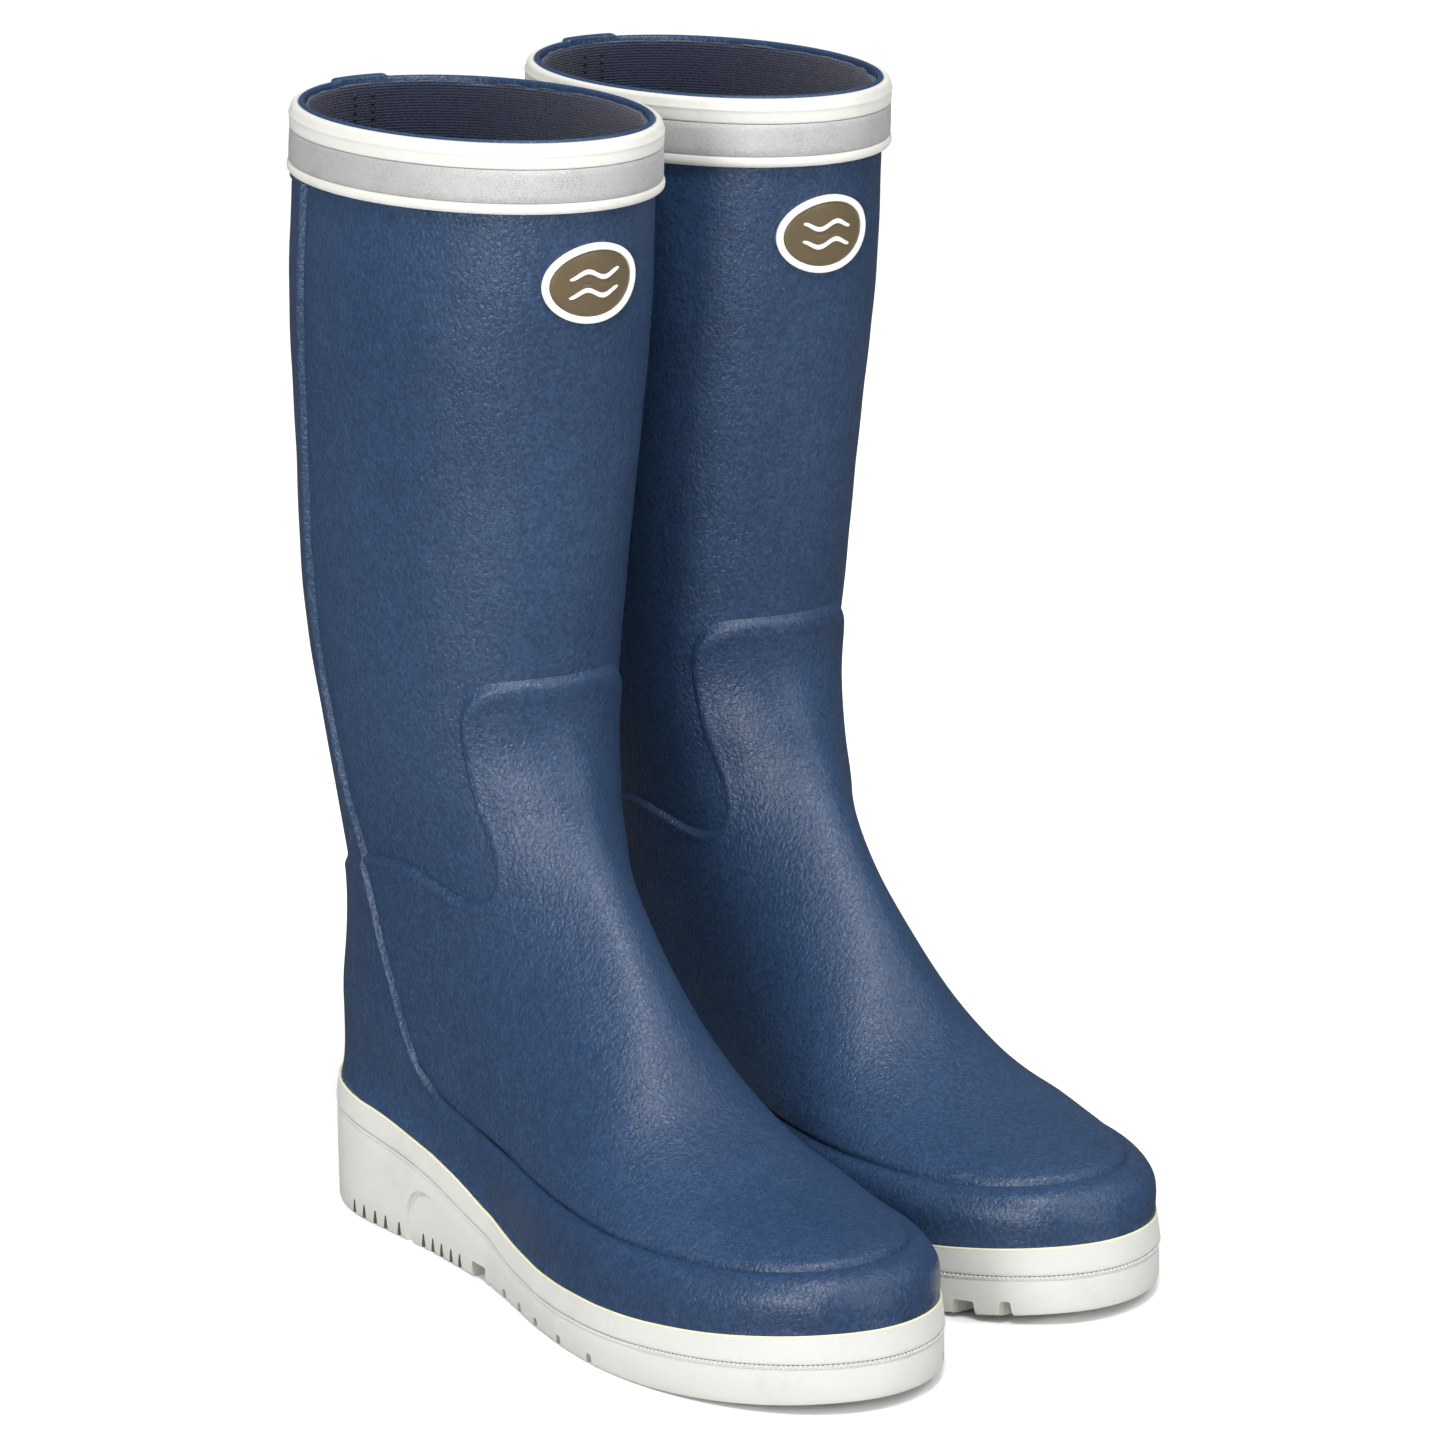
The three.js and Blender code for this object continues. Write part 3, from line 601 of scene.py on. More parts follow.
def knitted(name, dark, light, ribs=330.0):
    n = Nodes(name)
    rows = n.node("ShaderNodeTexWave", {"Scale": ribs, "Distortion": 2.2, "Detail": 2.0,
                                        "Detail Scale": 3.0}, Vector=n.place)
    rows.bands_direction = "Z"
    loops = n.noise(1400, 2, 0.6, 0.0, (1, 1, 0.5))
    fluff = n.noise(2400, 2, 0.7)
    both = n.sums(rows.outputs["Fac"], loops, 0.9)
    colour = n.ramp(both, [(0.3, dark), (1.3, light)])
    wear = n.mix(n.fit(n.noise(30, 3, 0.6), 0.4, 0.7, 0.0, 0.35), colour, light)
    normal = n.bump(n.sums(both, fluff, 0.5), 0.0006, 0.9)
    rough = n.fit(fluff, 0.3, 0.7, 0.85, 1.0)
    return n.finish(wear, rough, normal, Specular_IOR_Level=0.15, Sheen_Weight=0.25, Sheen_Roughness=0.5)


def foam_like(name, dark, light, scale, metallic=0.0, rough=(0.75, 0.95)):
    n = Nodes(name)
    grain = n.noise(scale, 4, 0.65)
    colour = n.ramp(grain, [(0.3, dark), (0.7, light)])
    normal = n.bump(grain, 0.0003, 0.5)
    return n.finish(colour, n.fit(grain, 0.3, 0.7, *rough), normal, Metallic=metallic)


# The third colour of each blue rubber is its lighter tone: painted glint on the grain's crests, and wear on
# rubbed edges.
NAVY = blue_rubber("navy_rubber", (0.017, 0.040, 0.093), (0.023, 0.051, 0.111), (0.070, 0.130, 0.23))
NAVY_RAND = blue_rubber("rand_rubber", (0.016, 0.038, 0.090), (0.021, 0.048, 0.107), (0.06, 0.115, 0.21),
                        0.85)
INNER = blue_rubber("inner_rubber", (0.009, 0.030, 0.080), (0.018, 0.052, 0.12), (0.05, 0.1, 0.19), 0.7)
SOLE = pale_rubber("sole_rubber", (0.50, 0.505, 0.475), (0.455, 0.46, 0.43), (0.57, 0.58, 0.55),
                   low=(0.43, 0.425, 0.395))
# Painted shade: darker copies of the sole rubber for the insides of the slots and sipes, and, less dark, for
# the notch and the lug grooves.
SLOT_SHADE = pale_rubber("tread_recess_shade", (0.13, 0.12, 0.09), (0.08, 0.075, 0.055), (0.2, 0.19, 0.16), 0.0002)
SHADED = pale_rubber("lug_recess_shade", (0.40, 0.385, 0.34), (0.31, 0.30, 0.26), (0.5, 0.49, 0.45), 0.0002)
TRIM = pale_rubber("trim_rubber", (0.66, 0.635, 0.42), (0.58, 0.55, 0.34), (0.72, 0.70, 0.52), 0.0001)
COLLAR = pale_rubber("collar_rubber", (0.56, 0.555, 0.52), (0.50, 0.49, 0.46), (0.65, 0.65, 0.62),
                     0.00012, (0.38, 0.55))
FILM = reflective_film()
KNIT = knitted("lining_knit", (0.010, 0.013, 0.030), (0.026, 0.032, 0.068))
BED = knitted("footbed_cloth", (0.008, 0.010, 0.024), (0.03, 0.036, 0.07), 120.0)
THREAD = knitted("stitch_thread", (0.002, 0.003, 0.007), (0.006, 0.008, 0.016), 900.0)
OLIVE = pale_rubber("badge_olive", (0.105, 0.078, 0.041), (0.086, 0.064, 0.034), (0.15, 0.112, 0.062),
                    0.00006, (0.34, 0.5))
WHITE = pale_rubber("badge_white", (0.80, 0.79, 0.74), (0.70, 0.69, 0.64), (0.86, 0.86, 0.83),
                    0.00004, (0.3, 0.45))
FOAM = foam_like("midsole_foam", (0.42, 0.38, 0.30), (0.56, 0.52, 0.43), 700)
BOARD = foam_like("insole_board", (0.22, 0.17, 0.10), (0.32, 0.26, 0.17), 500)
STEEL = foam_like("spring_steel", (0.24, 0.25, 0.26), (0.42, 0.43, 0.45), 900, 0.95, (0.25, 0.45))


# ---------- rubber panels ----------
def leg_piece(boot):
    """The bare rubber leg, from the rim down to where the vamp covers it, with its rolled rim."""
    sheet = Sheet(slices_between(float(s_at(SHAFT_HEIGHT)), 8.2, 3.2))
    sheet.split(lambda f, z: z - 88 - 0.178 * f, [0.0], 0.0)
    sheet.split(lambda f, z: 12 - np.maximum(vamp_depth(f, z), outer_depth(f, z)), [0.0], 0.0)
    s, t = sheet.st.T
    points = lifted(s, t, 0.0)
    profile = [(0.0, 0.0), (-0.25, 0.45), (-0.8, 0.72), (-1.35, 0.66), (-1.85, 0.3), (-2.05, -0.4),
               (-2.1, -4), (-2.1, -14), (-2.1, -30)]
    ring = np.linspace(-PI, PI, TURNS + 1)
    lip = []
    for d, rise in profile:
        lip.append(lifted(np.full(TURNS + 1, float(s_at(SHAFT_HEIGHT + rise))), ring, d))
    faces = sheet.tris.tolist() + sweep_faces(len(lip), TURNS + 1, False, start=len(points))
    points = np.concatenate([points] + lip)
    piece = add_piece(boot.name + "_leg_rubber", boot, points, faces, [NAVY])
    return settle(piece, boot, "leg")


def vamp_height(depth, outer, f, z):
    """Height of the vamp over the last, from the depth inside its outline and inside the outer panels."""
    roll = 1.6 + 1.9 * smoothstep(184, 192, z)
    rise = smoothstep(-0.7, 1.0, depth / roll * 1.5)
    crest = 0.34 * np.exp(-((depth / roll - 1.35) / 0.9) ** 2)
    valley = 1.9 * np.exp(-(np.minimum(outer, 0) / 0.85) ** 2)
    swell = 0.55 * np.exp(-((outer + 5.5) / 3.4) ** 2)
    return -0.45 + 2.25 * rise + crest + (swell - valley) * smoothstep(76, 96, f)


def instep_fold(s, t):
    """The soft ridge down the middle of the instep, with a hollow on each side of it."""
    along = smoothstep(4.6, 6.2, s) * smoothstep(11.5, 8.8, s)
    ridge = 0.75 * np.exp(-(t / 0.17) ** 2)
    outer = 0.8 * np.exp(-((t - 0.43) / 0.2) ** 2)
    inner = 0.35 * np.exp(-((t + 0.43) / 0.2) ** 2)
    return (ridge - outer - inner) * along


def vamp_piece(boot):
    sheet = Sheet(slices_between(3.6, S_END, 3.0))
    sheet.split(lambda f, z: z - sole_top(f) + 2.5, [0.0], 0.0)
    sheet.split(outer_depth, [-9.0, -6.0, -4.0, -2.6, -1.7, -1.0, -0.5, 0.2, 4.5])
    sheet.split(lambda f, z: 5.5 - outer_depth(f, z), [0.0], 0.0)
    sheet.split(vamp_depth, [-0.9, -0.4, 0.1, 0.6, 1.1, 1.7, 2.4, 3.2, 4.4, 6.0], -0.9)
    f, z = side_view(sheet)
    height = vamp_height(vamp_depth(f, z), outer_depth(f, z), f, z)
    s, t = sheet.st.T
    points = lifted(s, t, height + instep_fold(s, t))
    piece = add_piece(boot.name + "_vamp_rubber", boot, points, sheet.tris.tolist(), [NAVY])
    return settle(piece, boot, "vamp")


def outer_height(depth, f, z):
    """Height of the back stay and the rand over the last."""
    over_vamp = smoothstep(0.0, 4.0, vamp_depth(f, z))
    base = 1.35 + 1.55 * over_vamp
    dip = smoothstep(-0.6, 0.9, depth)
    bead = 0.75 * np.exp(-((depth - 1.5) / 0.75) ** 4)
    groove = 0.22 * np.exp(-((depth - 3.1) / 0.5) ** 2)
    stay = (base + bead - groove) * dip - 0.5 * (1 - dip)
    stay = stay + (over_vamp * 1.4) * (1 - dip)
    roll = 1 - np.exp(-np.maximum(depth + 0.6, 0) / 2.3)
    rand = 0.25 + 3.55 * roll
    forward = smoothstep(74, 98, f)
    return stay * (1 - forward) + rand * forward


def outer_sheet(s0, s1, front):
    """The grid shared by the back stay (front False) and the rand (front True)."""
    sheet = Sheet(slices_between(s0, s1, 2.8))
    sheet.split(lambda f, z: z - sole_top(f) + 0.9, [0.0], 0.0)
    sheet.split(lambda f, z: f - JOIN_F if front else JOIN_F - f, [0.0], 0.0)
    levels = [-0.6, -0.1, 0.4, 0.8, 1.2, 1.8, 2.3, 2.7, 3.1, 3.6, 4.6, 6.5, 9.0]
    sheet.split(outer_depth, levels, -0.6)
    return sheet


def flared(points, edge=1.15, tall=15.0):
    """Swings the rubber out to the sole's edge where it comes down onto it."""
    flat = points[:, :2]
    made = points.copy()
    top = sole_top(points[:, 1])
    near = np.where(points[:, 2] < top + tall)[0]
    gap = flat[near, None, :] - RING[None, :, :]
    nearest = np.argmin((gap ** 2).sum(2), axis=1)
    inset = -(gap[np.arange(len(near)), nearest] * RING_OUT[nearest]).sum(1)
    edge = edge + 1.0 * smoothstep(30, 5, points[near, 1])
    above = np.clip((points[near, 2] - top[near]) / tall, 0, 1)
    share = (1 - above) ** 1.7
    reach = np.maximum(inset - edge, 0) * share
    made[near, :2] += RING_OUT[nearest] * reach[:, None]
    return made


def rand_piece(boot):
    sheet = outer_sheet(7.4, S_END, True)
    f, z = side_view(sheet)
    s, t = sheet.st.T
    points = flared(lifted(s, t, outer_height(outer_depth(f, z), f, z)))
    piece = add_piece(boot.name + "_rand_rubber", boot, points, sheet.tris.tolist(), [NAVY_RAND])
    return settle(piece, boot, "rand")


def stay_piece(boot):
    """The back stay with its beaded front edges, and the tab it ends in above the rim."""
    sheet = outer_sheet(float(s_at(COLLAR_LOW + 2)), 10.2, False)
    sheet.split(vamp_depth, [0.0, 1.0, 2.0, 3.0, 4.2])
    f, z = side_view(sheet)
    s, t = sheet.st.T
    height = outer_height(outer_depth(f, z), f, z)
    height = height * smoothstep(COLLAR_LOW + 2.0, COLLAR_LOW - 0.6, z) ** 0.5
    points = flared(lifted(s, t, height))
    columns = 26
    turn = PI + np.linspace(-0.21, 0.21, columns)
    edge = np.abs(np.linspace(-1, 1, columns))
    top = SHAFT_HEIGHT + 1.45 - 0.7 * np.clip((edge - 0.8) / 0.2, 0, 1) ** 2
    profile = [(1.5, -24), (1.55, -12), (1.6, -3), (1.55, 0.5), (1.5, 0.78), (1.25, 0.93), (0.7, 1.0),
               (-0.9, 1.0), (-1.6, 0.93), (-1.95, 0.75), (-2.05, 0.4), (-2.1, -4), (-2.1, -16)]
    rows = []
    for d, rise in profile:
        if rise > 0:
            level = SHAFT_HEIGHT + (top - SHAFT_HEIGHT) * rise
        else:
            level = np.full(columns, SHAFT_HEIGHT + rise)
        inward = np.where(edge > 0.93, (edge - 0.93) * 5, 0)
        rows.append(lifted(s_at(level), turn, d * (1 - inward)))
    start = len(points)
    points = np.concatenate([points] + rows)
    faces = sheet.tris.tolist() + sweep_faces(len(rows), columns, False, start=start)
    for j in (0, columns - 1):
        rim = [start + i * columns + j for i in range(len(profile))]
        faces.append(rim if j else list(reversed(rim)))
    piece = add_piece(boot.name + "_back_stay_rubber", boot, points, faces, [NAVY])
    return settle(piece, boot, "back_stay")


def inner_piece(boot, node, s0, s1, region):
    """One piece of the foot's inner layer, where every depth in region is above nought."""
    sheet = Sheet(slices_between(s0, s1, 4.0), 96)
    for depth in region:
        sheet.split(depth, [0.0], 0.0)
    s, t = sheet.st.T
    points = np.concatenate([lifted(s, t, -0.1), lifted(s, t, -2.0)])
    inside = sheet.tris[:, ::-1] + len(s)
    faces = sheet.tris.tolist() + inside.tolist()
    piece = add_piece(boot.name + "_" + node + "_rubber", boot, points, faces, [INNER])
    return settle(piece, boot, node)


def inner_pieces(boot):
    puff = [lambda f, z: f - 254 + (z - 30) * 0.13, lambda f, z: z - 30]
    stiffener = [lambda f, z: 54 - f - (z - 46) * 0.36, lambda f, z: z - 46, lambda f, z: 74 - z]

    def base(f, z):
        in_puff = np.minimum.reduce([depth(f, z) for depth in puff])
        in_stiffener = np.minimum.reduce([depth(f, z) for depth in stiffener])
        under_seam = 84 + 0.178 * (f + 20) - z
        return np.minimum(np.minimum(-in_puff, -in_stiffener), under_seam) - 0.2

    inner_piece(boot, "toe_puff", 12.6, S_END, puff)
    inner_piece(boot, "heel_stiffener", 5.6, 8.4, stiffener)
    inner_piece(boot, "foot_base", 5.2, S_END, [base])


# ---------- collar with its reflective strip ----------
def over_stay(t):
    """How much further out the collar lies where it passes over the back stay's tab."""
    away = np.abs(np.abs(t) - PI)
    return 1.5 * smoothstep(0.42, 0.24, away)


def band(name, boot, profile, material, node, slot):
    """A band round the rim, its section given as heights above COLLAR_LOW and heights over the last."""
    turns = 150
    heights, away = np.array(profile).T
    points = []
    for turn in np.linspace(-PI, PI, turns, endpoint=False):
        points.append(lifted(s_at(COLLAR_LOW + heights), turn, away + over_stay(turn)))
    faces = sweep_faces(turns, len(profile), True, True)
    piece = add_piece(boot.name + name, boot, np.concatenate(points), faces, [material], flip=True)
    return settle(piece, boot, node)


def collar_pieces(boot):
    profile = [(0.0, 0.3), (-0.05, 1.2), (0.0, 1.9), (0.3, 2.6), (0.9, 3.1), (1.8, 3.25), (2.7, 3.1),
               (3.25, 2.85), (3.5, 2.5), (3.6, 1.6), (14.4, 1.6), (14.5, 2.5), (14.7, 2.8), (15.2, 2.9),
               (17.0, 2.95), (18.0, 2.9), (18.4, 3.0), (18.7, 3.15), (19.05, 3.17), (19.4, 3.0), (19.9, 2.75),
               (21.1, 2.55), (21.7, 2.25), (22.2, 1.7), (22.4, 1.0), (22.4, 0.25)]
    band("_collar_rubber", boot, profile, COLLAR, "collar_band", "collar_rubber")
    strip = [(3.65, 1.7), (3.68, 2.55), (3.95, 2.74), (6.2, 2.8), (9.0, 2.84), (12.0, 2.8), (14.05, 2.74),
             (14.32, 2.55), (14.35, 1.7)]
    band("_reflector_film", boot, strip, FILM, "reflective_strip", "reflective_film")


# ---------- badge ----------
def on_front(x, z, height):
    """Points on the front of the leg at a sideways place and a height above the deck."""
    s = s_at(z)
    row = last_point(s, PI / 2)
    t = np.arcsin(np.clip(x / row[:, 0], -1, 1))
    return lifted(s, t, height)


# Height of the badge's middle, and half its width and height.
BADGE_Z = 328
BADGE_X = 17
BADGE_UP = 13


def badge_pieces(boot):
    around = 72
    angle = np.linspace(0, 2 * PI, around, endpoint=False)

    def ring(inset, height):
        x = (BADGE_X - inset) * np.cos(angle)
        z = BADGE_Z + (BADGE_UP - inset) * np.sin(angle)
        return on_front(x, z, height)

    border = [(0.0, -0.2), (0.0, 1.1), (0.15, 1.45), (0.5, 1.7), (1.0, 1.78), (1.6, 1.68), (2.0, 1.4),
              (2.2, 1.0), (2.2, -0.2)]
    points = np.stack([ring(inset, height) for inset, height in border], 1).reshape(-1, 3)
    piece = add_piece(boot.name + "_badge_border_rubber", boot, points,
                      sweep_faces(around, len(border)), [WHITE])
    settle(piece, boot, "badge_border")

    plate = [(2.3, -0.2), (2.3, 0.8), (2.6, 1.05), (4.0, 1.15), (6.5, 1.25), (9.0, 1.32), (11.5, 1.36),
             (12.9, 1.38)]
    rows = [ring(inset, height) for inset, height in plate]
    points = np.stack(rows, 1).reshape(-1, 3)
    faces = sweep_faces(around, len(plate))
    slots = [0] * len(faces)
    centre = len(points)
    points = np.concatenate([points, on_front(np.zeros(1), np.full(1, float(BADGE_Z)), plate[-1][1])])
    for j in range(around):
        k = (j + 1) % around
        faces.append(((j + 1) * len(plate) - 1, (k + 1) * len(plate) - 1, centre))
        slots.append(0)
    for rise in (-3.0, 3.0):
        u = np.linspace(-9, 9, 37)
        line = BADGE_Z + rise + np.sin(u / 9 * PI * 1.5) * 1.1
        taper = np.sqrt(np.clip(1 - (np.abs(u) / 9) ** 6, 0, 1))
        section = [(-0.85, 1.1), (-0.7, 1.62), (-0.3, 1.82), (0.3, 1.82), (0.7, 1.62), (0.85, 1.1)]
        ribs = [on_front(u, line + off * taper, 1.1 + (high - 1.1) * taper) for off, high in section]
        start = len(points)
        points = np.concatenate([points, np.stack(ribs, 1).reshape(-1, 3)])
        for face in sweep_faces(len(u), len(section), False):
            faces.append(tuple(start + i for i in reversed(face)))
            slots.append(1)
    piece = add_piece(boot.name + "_badge_plate_rubber", boot, points, faces, [OLIVE, WHITE], slots,
                      weld=1e-5)
    settle(piece, boot, "badge_plate")


# ---------- lining ----------
def lining_piece(boot, rng):
    """The knit lining with its frayed edge, and a row of stitches on each side of the back."""
    turns = 150
    rows = []
    t = np.linspace(-PI, PI, turns, endpoint=False)
    fray = np.convolve(np.tile(rng.normal(0, 0.42, turns), 3), [0.25, 0.5, 0.25], "same")[turns:2 * turns]
    edge = SHAFT_HEIGHT - 1.0 + fray
    hem = [(-2.15, 12.0), (-2.15, 2.0), (-2.2, 0.5), (-2.5, 0.0), (-3.0, 0.0), (-3.4, 0.5),
           (LINING_IN, 1.8)]
    for d, drop in hem:
        rows.append(lifted(s_at(edge - drop), t, d))
    for s in slices_between(float(s_at(SHAFT_HEIGHT - 8)), S_END - 0.35, 5.0):
        rows.append(lifted(np.full(turns, s), t, LINING_IN))
    points = np.concatenate(rows)
    faces = sweep_faces(len(rows), turns, False, True)
    faces.append([(len(rows) - 1) * turns + j for j in range(turns)])
    slots = [0] * len(faces)
    for turn in (-3.065, 3.065):
        for i in range(44):
            z = SHAFT_HEIGHT - 4 - i * 2.6
            a, b = lifted(s_at(np.array([z, z - 1.5])), turn, STITCH_IN)
            out = last_normal(s_at(np.array([z])), turn)[0]
            side = np.cross(b - a, out)
            side = side / np.linalg.norm(side)
            stitch = []
            for share, fat in ((0.0, 0.15), (0.2, 0.5), (0.8, 0.5), (1.0, 0.15)):
                centre = a + (b - a) * share
                for k in range(6):
                    w = k * PI / 3
                    stitch.append(centre + (side * math.cos(w) + out * math.sin(w)) * fat)
            made = wall_faces(4, 6, len(points))
            points = np.concatenate([points, np.array(stitch)])
            faces += made
            slots += [1] * len(made)
    piece = add_piece(boot.name + "_lining_knit", boot, points, faces, [KNIT, THREAD], slots, weld=1e-5)
    return settle(piece, boot, "lining")


# ---------- sole ----------
def outline(count=200):
    """Points round the sole, from the middle of the heel along the outer side to the toe and back."""
    a = np.linspace(0, 2 * PI, 2 * count, endpoint=False)
    f = SOLE_LENGTH / 2 * (1 - np.cos(a))
    side = np.sign(np.sin(a))
    side[0] = 0
    side[count] = 0
    return np.stack([middle(f) + side * half_width(f), f], 1)


RING = outline()
RING_TANGENT = np.roll(RING, -1, axis=0) - np.roll(RING, 1, axis=0)
RING_OUT = np.stack([RING_TANGENT[:, 1], -RING_TANGENT[:, 0]], 1)
RING_OUT = RING_OUT / np.linalg.norm(RING_OUT, axis=1, keepdims=True)
if (RING_OUT[50] * (RING[50] - [0, 100]))[0] < 0:
    RING_OUT = -RING_OUT


def sole_ring(inset, z):
    """A level line round the sole, moved inwards, at a height that is a number or a function of f."""
    flat = RING - RING_OUT * inset
    if inset > 3:
        f = np.clip(RING[:, 1], inset, SOLE_LENGTH - inset)
        side = np.sign(RING[:, 0] - middle(RING[:, 1]))
        flat = np.stack([middle(f) + side * np.maximum(half_width(f, inset), 0), f], 1)
    height = z(RING[:, 1]) if callable(z) else np.full(len(RING), float(z))
    return np.concatenate([flat, height[:, None]], 1)


def across(first, count, faces, up):
    """Closes a ring of the sole with strips from side to side."""
    half = count // 2
    for i in range(half):
        a = first + i
        b = first + i + 1
        c = first + (count - i - 1) % count
        d = first + (count - i) % count
        face = [a, b, c, d]
        face = [v for k, v in enumerate(face) if v not in face[:k]]
        if len(face) > 2:
            faces.append(face if up else face[::-1])


def loft(rings):
    return np.concatenate(rings), wall_faces(len(rings), len(RING))


def band_piece(boot):
    """The white band over the sole's groove line, its trimmed top edge in a rubber of its own."""
    def share(k, off):
        return lambda f: groove_line(f) + (sole_top(f) - groove_line(f)) * k + off

    wall = [(7.5, 0, 0.08), (0.5, 0, 0.08), (0.12, 0, 0.16), (-0.12, 0, 0.45), (-0.2, 0, 1.0),
            (-0.15, 0, 2.0), (0.05, 0.4, 0.0), (0.3, 0.65, 0.0), (0.52, 1, -1.6), (0.62, 1, -0.75),
            (0.66, 1, -0.42), (0.62, 1, -0.3), (0.7, 1, 0.0), (0.95, 1, 0.12), (1.35, 1, 0.0),
            (7.5, 1, -0.3)]
    rings = [sole_ring(inset, share(k, off)) for inset, k, off in wall]
    points, faces = loft(rings)
    n = len(RING)
    slots = []
    for i in range(len(rings) - 1):
        slots += [1 if 10 <= i <= 13 else 0] * n
    last = (len(rings) - 1) * n
    for j in range(n):
        k = (j + 1) % n
        faces.append((last + j, last + k, k, j))
        slots.append(0)
    piece = add_piece(boot.name + "_sole_band_rubber", boot, points, faces, [SOLE, TRIM], slots, weld=1e-5)
    return settle(piece, boot, "sole_band")


def prism(profile, x0, x1):
    """A bar across the boot with a side-view outline of (f, z) corners, listed anticlockwise."""
    m = len(profile)
    points = [(x0, f, z) for f, z in profile] + [(x1, f, z) for f, z in profile]
    faces = [tuple(range(m)), tuple(reversed(range(m, 2 * m)))]
    faces += [(i, i + m, (i + 1) % m + m, (i + 1) % m) for i in range(m)]
    return points, faces


def tube(path, radius, sides=8):
    """A closed tube along a path, with a radius for each of its points."""
    path = np.array(path, float)
    points = []
    for i, p in enumerate(path):
        along = path[min(i + 1, len(path) - 1)] - path[max(i - 1, 0)]
        along = along / np.linalg.norm(along)
        u = np.array([1.0, 0, 0])
        v = np.cross(along, u)
        v = v / np.linalg.norm(v)
        u = np.cross(v, along)
        for k in range(sides):
            w = 2 * PI * k / sides
            points.append(p + (u * math.cos(w) + v * math.sin(w)) * radius[i])
    faces = wall_faces(len(path), sides)
    faces.append(tuple(reversed(range(sides))))
    faces.append(tuple(range((len(path) - 1) * sides, len(path) * sides)))
    return points, faces


# Grooves from side to side: where each starts, and how wide it is.
LUG_GROOVES = [(143, 2.8), (157, 2.8), (172, 2.8), (190, 2.8), (210, 2.8), (246, 2.8), (258.5, 5.2),
               (269.5, 6.4), (283, 2.8)]
# The hook-shaped groove at the arch: f, z and radius.
ARCH_HOOK = [(76.8, -2, 2.1), (77.0, 4, 2.1), (77.4, 9, 2.0), (78.4, 13, 1.8), (80.2, 16.2, 1.55),
             (83.2, 18.4, 1.2), (87.2, 19.2, 0.75), (91.5, 18.8, 0.3)]
# Middles of the grooves that the sipes on the tread keep clear of.
SIPE_CLEAR = (144.5, 158.5, 173.5, 191.5, 211.5, 247.5, 261.5, 273.5, 284.5)


def sole_cutters():
    """Everything that is moulded into the sole, each shape with the slot of its rubber in the cutter."""
    shapes = []
    # Slots and sipes take rubber slot 1, the sole rubber darkened with painted shade; the notch and the lug
    # grooves take slot 2, with a lighter painted shade; the arch hook keeps the sole rubber.
    for f in (41, 48, 55, 61.5, 70, 85, 91, 97, 103.5, 109.5):
        w = float(half_width(f))
        slot = [(f - 0.8, -1), (f + 2.4, -1), (f + 1.55, 5.0), (f + 1.1, 5.5), (f + 0.6, 5.0)]
        shapes.append((*prism(slot, w - 13, 80), 1))
        shapes.append((*prism(slot, -80, -w + 13), 1))
    notch = [(119, -1), (128, -1), (128, 5.2), (127.4, 5.6), (119.6, 5.6), (119, 5.2)]
    shapes.append((*prism(notch, -80, 80), 2))
    for f, wide in LUG_GROOVES:
        lift = float(spring(f)) + (1.5 if f > 250 else 0)
        groove = [(f - 0.6, -1), (f + wide + 0.7, -1), (f + wide - 0.1, 3.2 + lift),
                  (f + wide - 0.5, 3.6 + lift), (f + 0.5, 3.6 + lift), (f + 0.1, 3.2 + lift)]
        outer_end = float(half_width(f, 12)) if f > 240 else 80
        shapes.append((*prism(groove, -80, outer_end), 2))
    for side in (-1, 1):
        path = [(side * (float(half_width(f)) + 0.25), f, z) for f, z, r in ARCH_HOOK]
        shapes.append((*tube(path, [r for f, z, r in ARCH_HOOK]), 0))
    for f in np.arange(14.0, 290, 7.0):
        lift = float(spring(f))
        blocked = any(abs(f - g) < 4.4 for g in SIPE_CLEAR)
        if not 113 < f < 134 and not blocked:
            reach = float(half_width(f)) - 9.5
            count = max(int(reach * 2 / 4), 3)
            xs = np.linspace(-reach, reach, count) + float(middle(f))
            front = [(x, f + (1.3 if i % 2 else -1.3)) for i, x in enumerate(xs)]
            points = []
            for x, y in front:
                for dy, z in ((-0.45, -1), (0.45, -1), (0.45, 1.8 + lift), (-0.45, 1.8 + lift)):
                    points.append((x, y + dy, z))
            faces = wall_faces(count, 4)
            faces.append((3, 2, 1, 0))
            faces.append(tuple(range((count - 1) * 4, count * 4)))
            shapes.append((points, faces, 1))
    return shapes


# The sole rubber, then its two copies darkened with painted shade for the recesses.
SOLE_RUBBERS = [SOLE, SLOT_SHADE, SHADED]


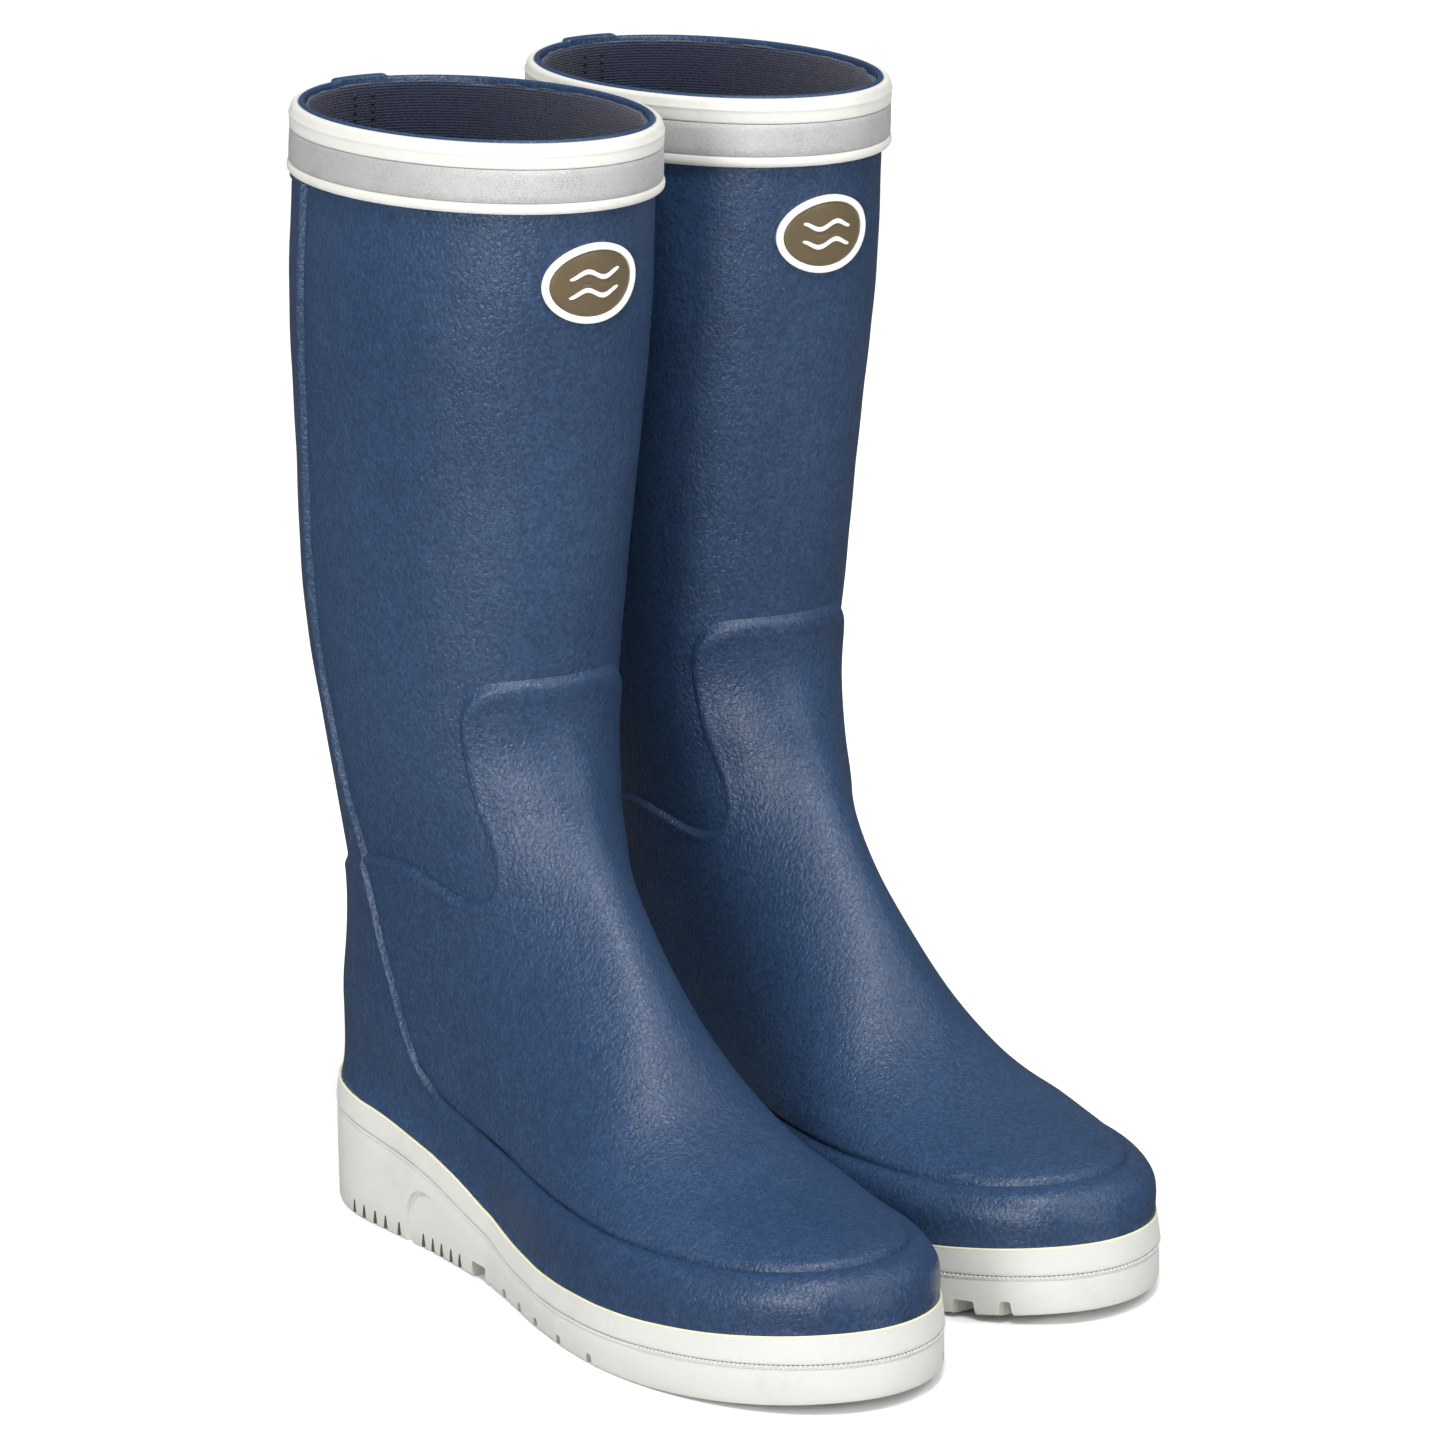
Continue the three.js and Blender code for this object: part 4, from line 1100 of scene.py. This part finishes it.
def outsole_piece(boot):
    """The outsole: a tray inside, a groove, a wall and a tread, with the moulded shapes cut out."""
    under_groove = [(7.5, -0.08), (0.5, -0.08), (0.15, -0.16), (0.0, -0.5), (0.02, -1.1), (0.3, -1.35),
                    (0.34, -1.55), (0.12, -1.8), (0.0, -2.3)]
    down_wall = [(-0.05, 0.75), (-0.05, 0.45), (0.0, 0.2)]
    over_deck = [(0.12, 1.2), (0.45, 0.35), (1.1, 0.02), (4.0, 0.0)]
    rings = [sole_ring(7.6, lambda f: line_at(TRAY, f))]
    for inset, off in under_groove:
        rings.append(sole_ring(inset, lambda f: groove_line(f) + off))
    for inset, k in down_wall:
        rings.append(sole_ring(inset, lambda f: spring(f) + (groove_line(f) - 2.4 - spring(f)) * k))
    for inset, off in over_deck:
        rings.append(sole_ring(inset, lambda f: spring(f) + off))
    points, faces = loft(rings)
    n = len(RING)
    across(0, n, faces, True)
    across((len(rings) - 1) * n, n, faces, False)
    piece = add_piece(boot.name + "_outsole_rubber", boot, points, faces, SOLE_RUBBERS, weld=1e-5)
    turn_outwards(piece.data)

    cut_points = []
    cut_faces = []
    cut_slots = []
    for shape_points, shape_faces, slot in sole_cutters():
        cut_slots += [slot] * len(shape_faces)
        start = len(cut_points)
        cut_points += [tuple(p) for p in shape_points]
        cut_faces += [tuple(start + i for i in face) for face in shape_faces]
    cutter = add_piece("cutter", boot, cut_points, cut_faces, SOLE_RUBBERS, cut_slots, weld=0)
    turn_outwards(cutter.data)
    cut = piece.modifiers.new("tread", "BOOLEAN")
    cut.operation = "DIFFERENCE"
    cut.solver = "EXACT"
    cut.use_self = True
    cut.object = cutter
    cut.material_mode = "INDEX"
    apply_modifiers(piece)
    bpy.data.objects.remove(cutter)
    piece.data.set_sharp_from_angle(angle=math.radians(38))
    piece.data.polygons.foreach_set("use_smooth", np.ones(len(piece.data.polygons), bool))
    add_bead_line(piece, boot)
    return settle(piece, boot, "outsole")


def add_bead_line(piece, boot):
    """A row of small moulded beads low on the wall round the toe."""
    bm = bmesh.new()
    bm.from_mesh(piece.data)
    a = np.linspace(0, 2 * PI, 4000)
    f = SOLE_LENGTH / 2 * (1 - np.cos(a))
    x = middle(f) + np.sign(np.sin(a)) * half_width(f)
    keep = f > 236
    x = x[keep]
    f = f[keep]
    run = np.concatenate([[0], np.cumsum(np.hypot(np.diff(x), np.diff(f)))])
    for place in np.arange(0.8, run[-1], 1.55):
        bx = float(np.interp(place, run, x))
        bf = float(np.interp(place, run, f))
        centre = boot.place([(bx, bf, float(groove_line(bf)) - 0.35)])[0]
        made = bmesh.ops.create_icosphere(bm, subdivisions=1, radius=0.00058)
        bmesh.ops.translate(bm, verts=made["verts"], vec=Vector(centre))
        for vert in made["verts"]:
            for face in vert.link_faces:
                face.smooth = True
    bm.to_mesh(piece.data)
    bm.free()


# ---------- everything on both boots ----------
RNG = np.random.default_rng(7)
for boot in BOOTS:
    leg_piece(boot)
    vamp_piece(boot)
    rand_piece(boot)
    stay_piece(boot)
    collar_pieces(boot)
    inner_pieces(boot)
    badge_pieces(boot)
    lining_piece(boot, RNG)
    band_piece(boot)
    outsole_piece(boot)

CARRIED = {"shank": STEEL, "midsole_wedge": FOAM, "insole_board": BOARD, "footbed": BED}
for node_name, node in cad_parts.items():
    node.data.materials.clear()
    node.data.materials.append(CARRIED.get(node_name.split("_", 1)[1], NAVY))


# ---------- floor, light and camera ----------
def floor_material():
    n = Nodes("studio_floor")
    tone = n.ramp(n.noise(3, 2, 0.5), [(0.3, (0.90, 0.90, 0.90)), (0.7, (0.92, 0.92, 0.92))])
    return n.finish(tone, 0.9, None, Specular_IOR_Level=0.1)


def build_floor():
    mesh = bpy.data.meshes.new("floor")
    size = 9.0
    corners = [(-size, -size, 0), (size, -size, 0), (size, size, 0), (-size, size, 0)]
    mesh.from_pydata(corners, [], [(0, 1, 2, 3)])
    mesh.materials.append(floor_material())
    floor = bpy.data.objects.new("floor", mesh)
    bpy.context.scene.collection.objects.link(floor)
    floor.visible_glossy = False


def area_light(name, place, aim, size, size_y, power, mirrored=True):
    data = bpy.data.lights.new(name, "AREA")
    data.shape = "RECTANGLE"
    data.size = size
    data.size_y = size_y
    data.energy = power
    lamp = bpy.data.objects.new(name, data)
    bpy.context.scene.collection.objects.link(lamp)
    lamp.location = place
    direction = Vector(aim) - Vector(place)
    lamp.rotation_euler = direction.to_track_quat("-Z", "Y").to_euler()
    lamp.visible_glossy = mirrored


build_floor()
world = bpy.data.worlds.new("studio")
world.use_nodes = True
world.node_tree.nodes["Background"].inputs[0].default_value = (1.0, 1.0, 1.0, 1)
world.node_tree.nodes["Background"].inputs[1].default_value = 0.1
bpy.context.scene.world = world
area_light("overhead", (1.2, 2.0, 4.2), (1.2, 2.0, 0), 13.0, 13.0, 690, False)
area_light("key", (-1.95, -1.3, 0.75), (0, 0, 0.22), 0.5, 1.2, 33)
area_light("fill", (0.65, -2.25, 0.8), (0, 0, 0.27), 0.28, 1.1, 10)
area_light("upper", (-0.62, -0.95, 2.1), (0, -0.05, 0.1), 0.4, 0.6, 27)
area_light("side", (1.0, -1.15, 1.8), (0, -0.03, 0.12), 0.16, 0.7, 8)

camera_data = bpy.data.cameras.new("camera")
camera_data.sensor_width = 36
camera_data.lens = 169
camera_data.clip_start = 0.1
camera_data.clip_end = 60
camera = bpy.data.objects.new("camera", camera_data)
bpy.context.scene.collection.objects.link(camera)
camera.location = (-1.1785, -1.7790, 0.7272)
YAW = math.radians(-33.5)
PITCH = math.radians(90 - 14.5)
ROLL = math.radians(0.6)
aimed = Euler((PITCH, 0, YAW)).to_quaternion()
camera.rotation_mode = "QUATERNION"
camera.rotation_quaternion = Quaternion(aimed @ Vector((0, 0, -1)), ROLL) @ aimed
bpy.context.scene.camera = camera
bpy.context.scene.view_settings.view_transform = "Standard"
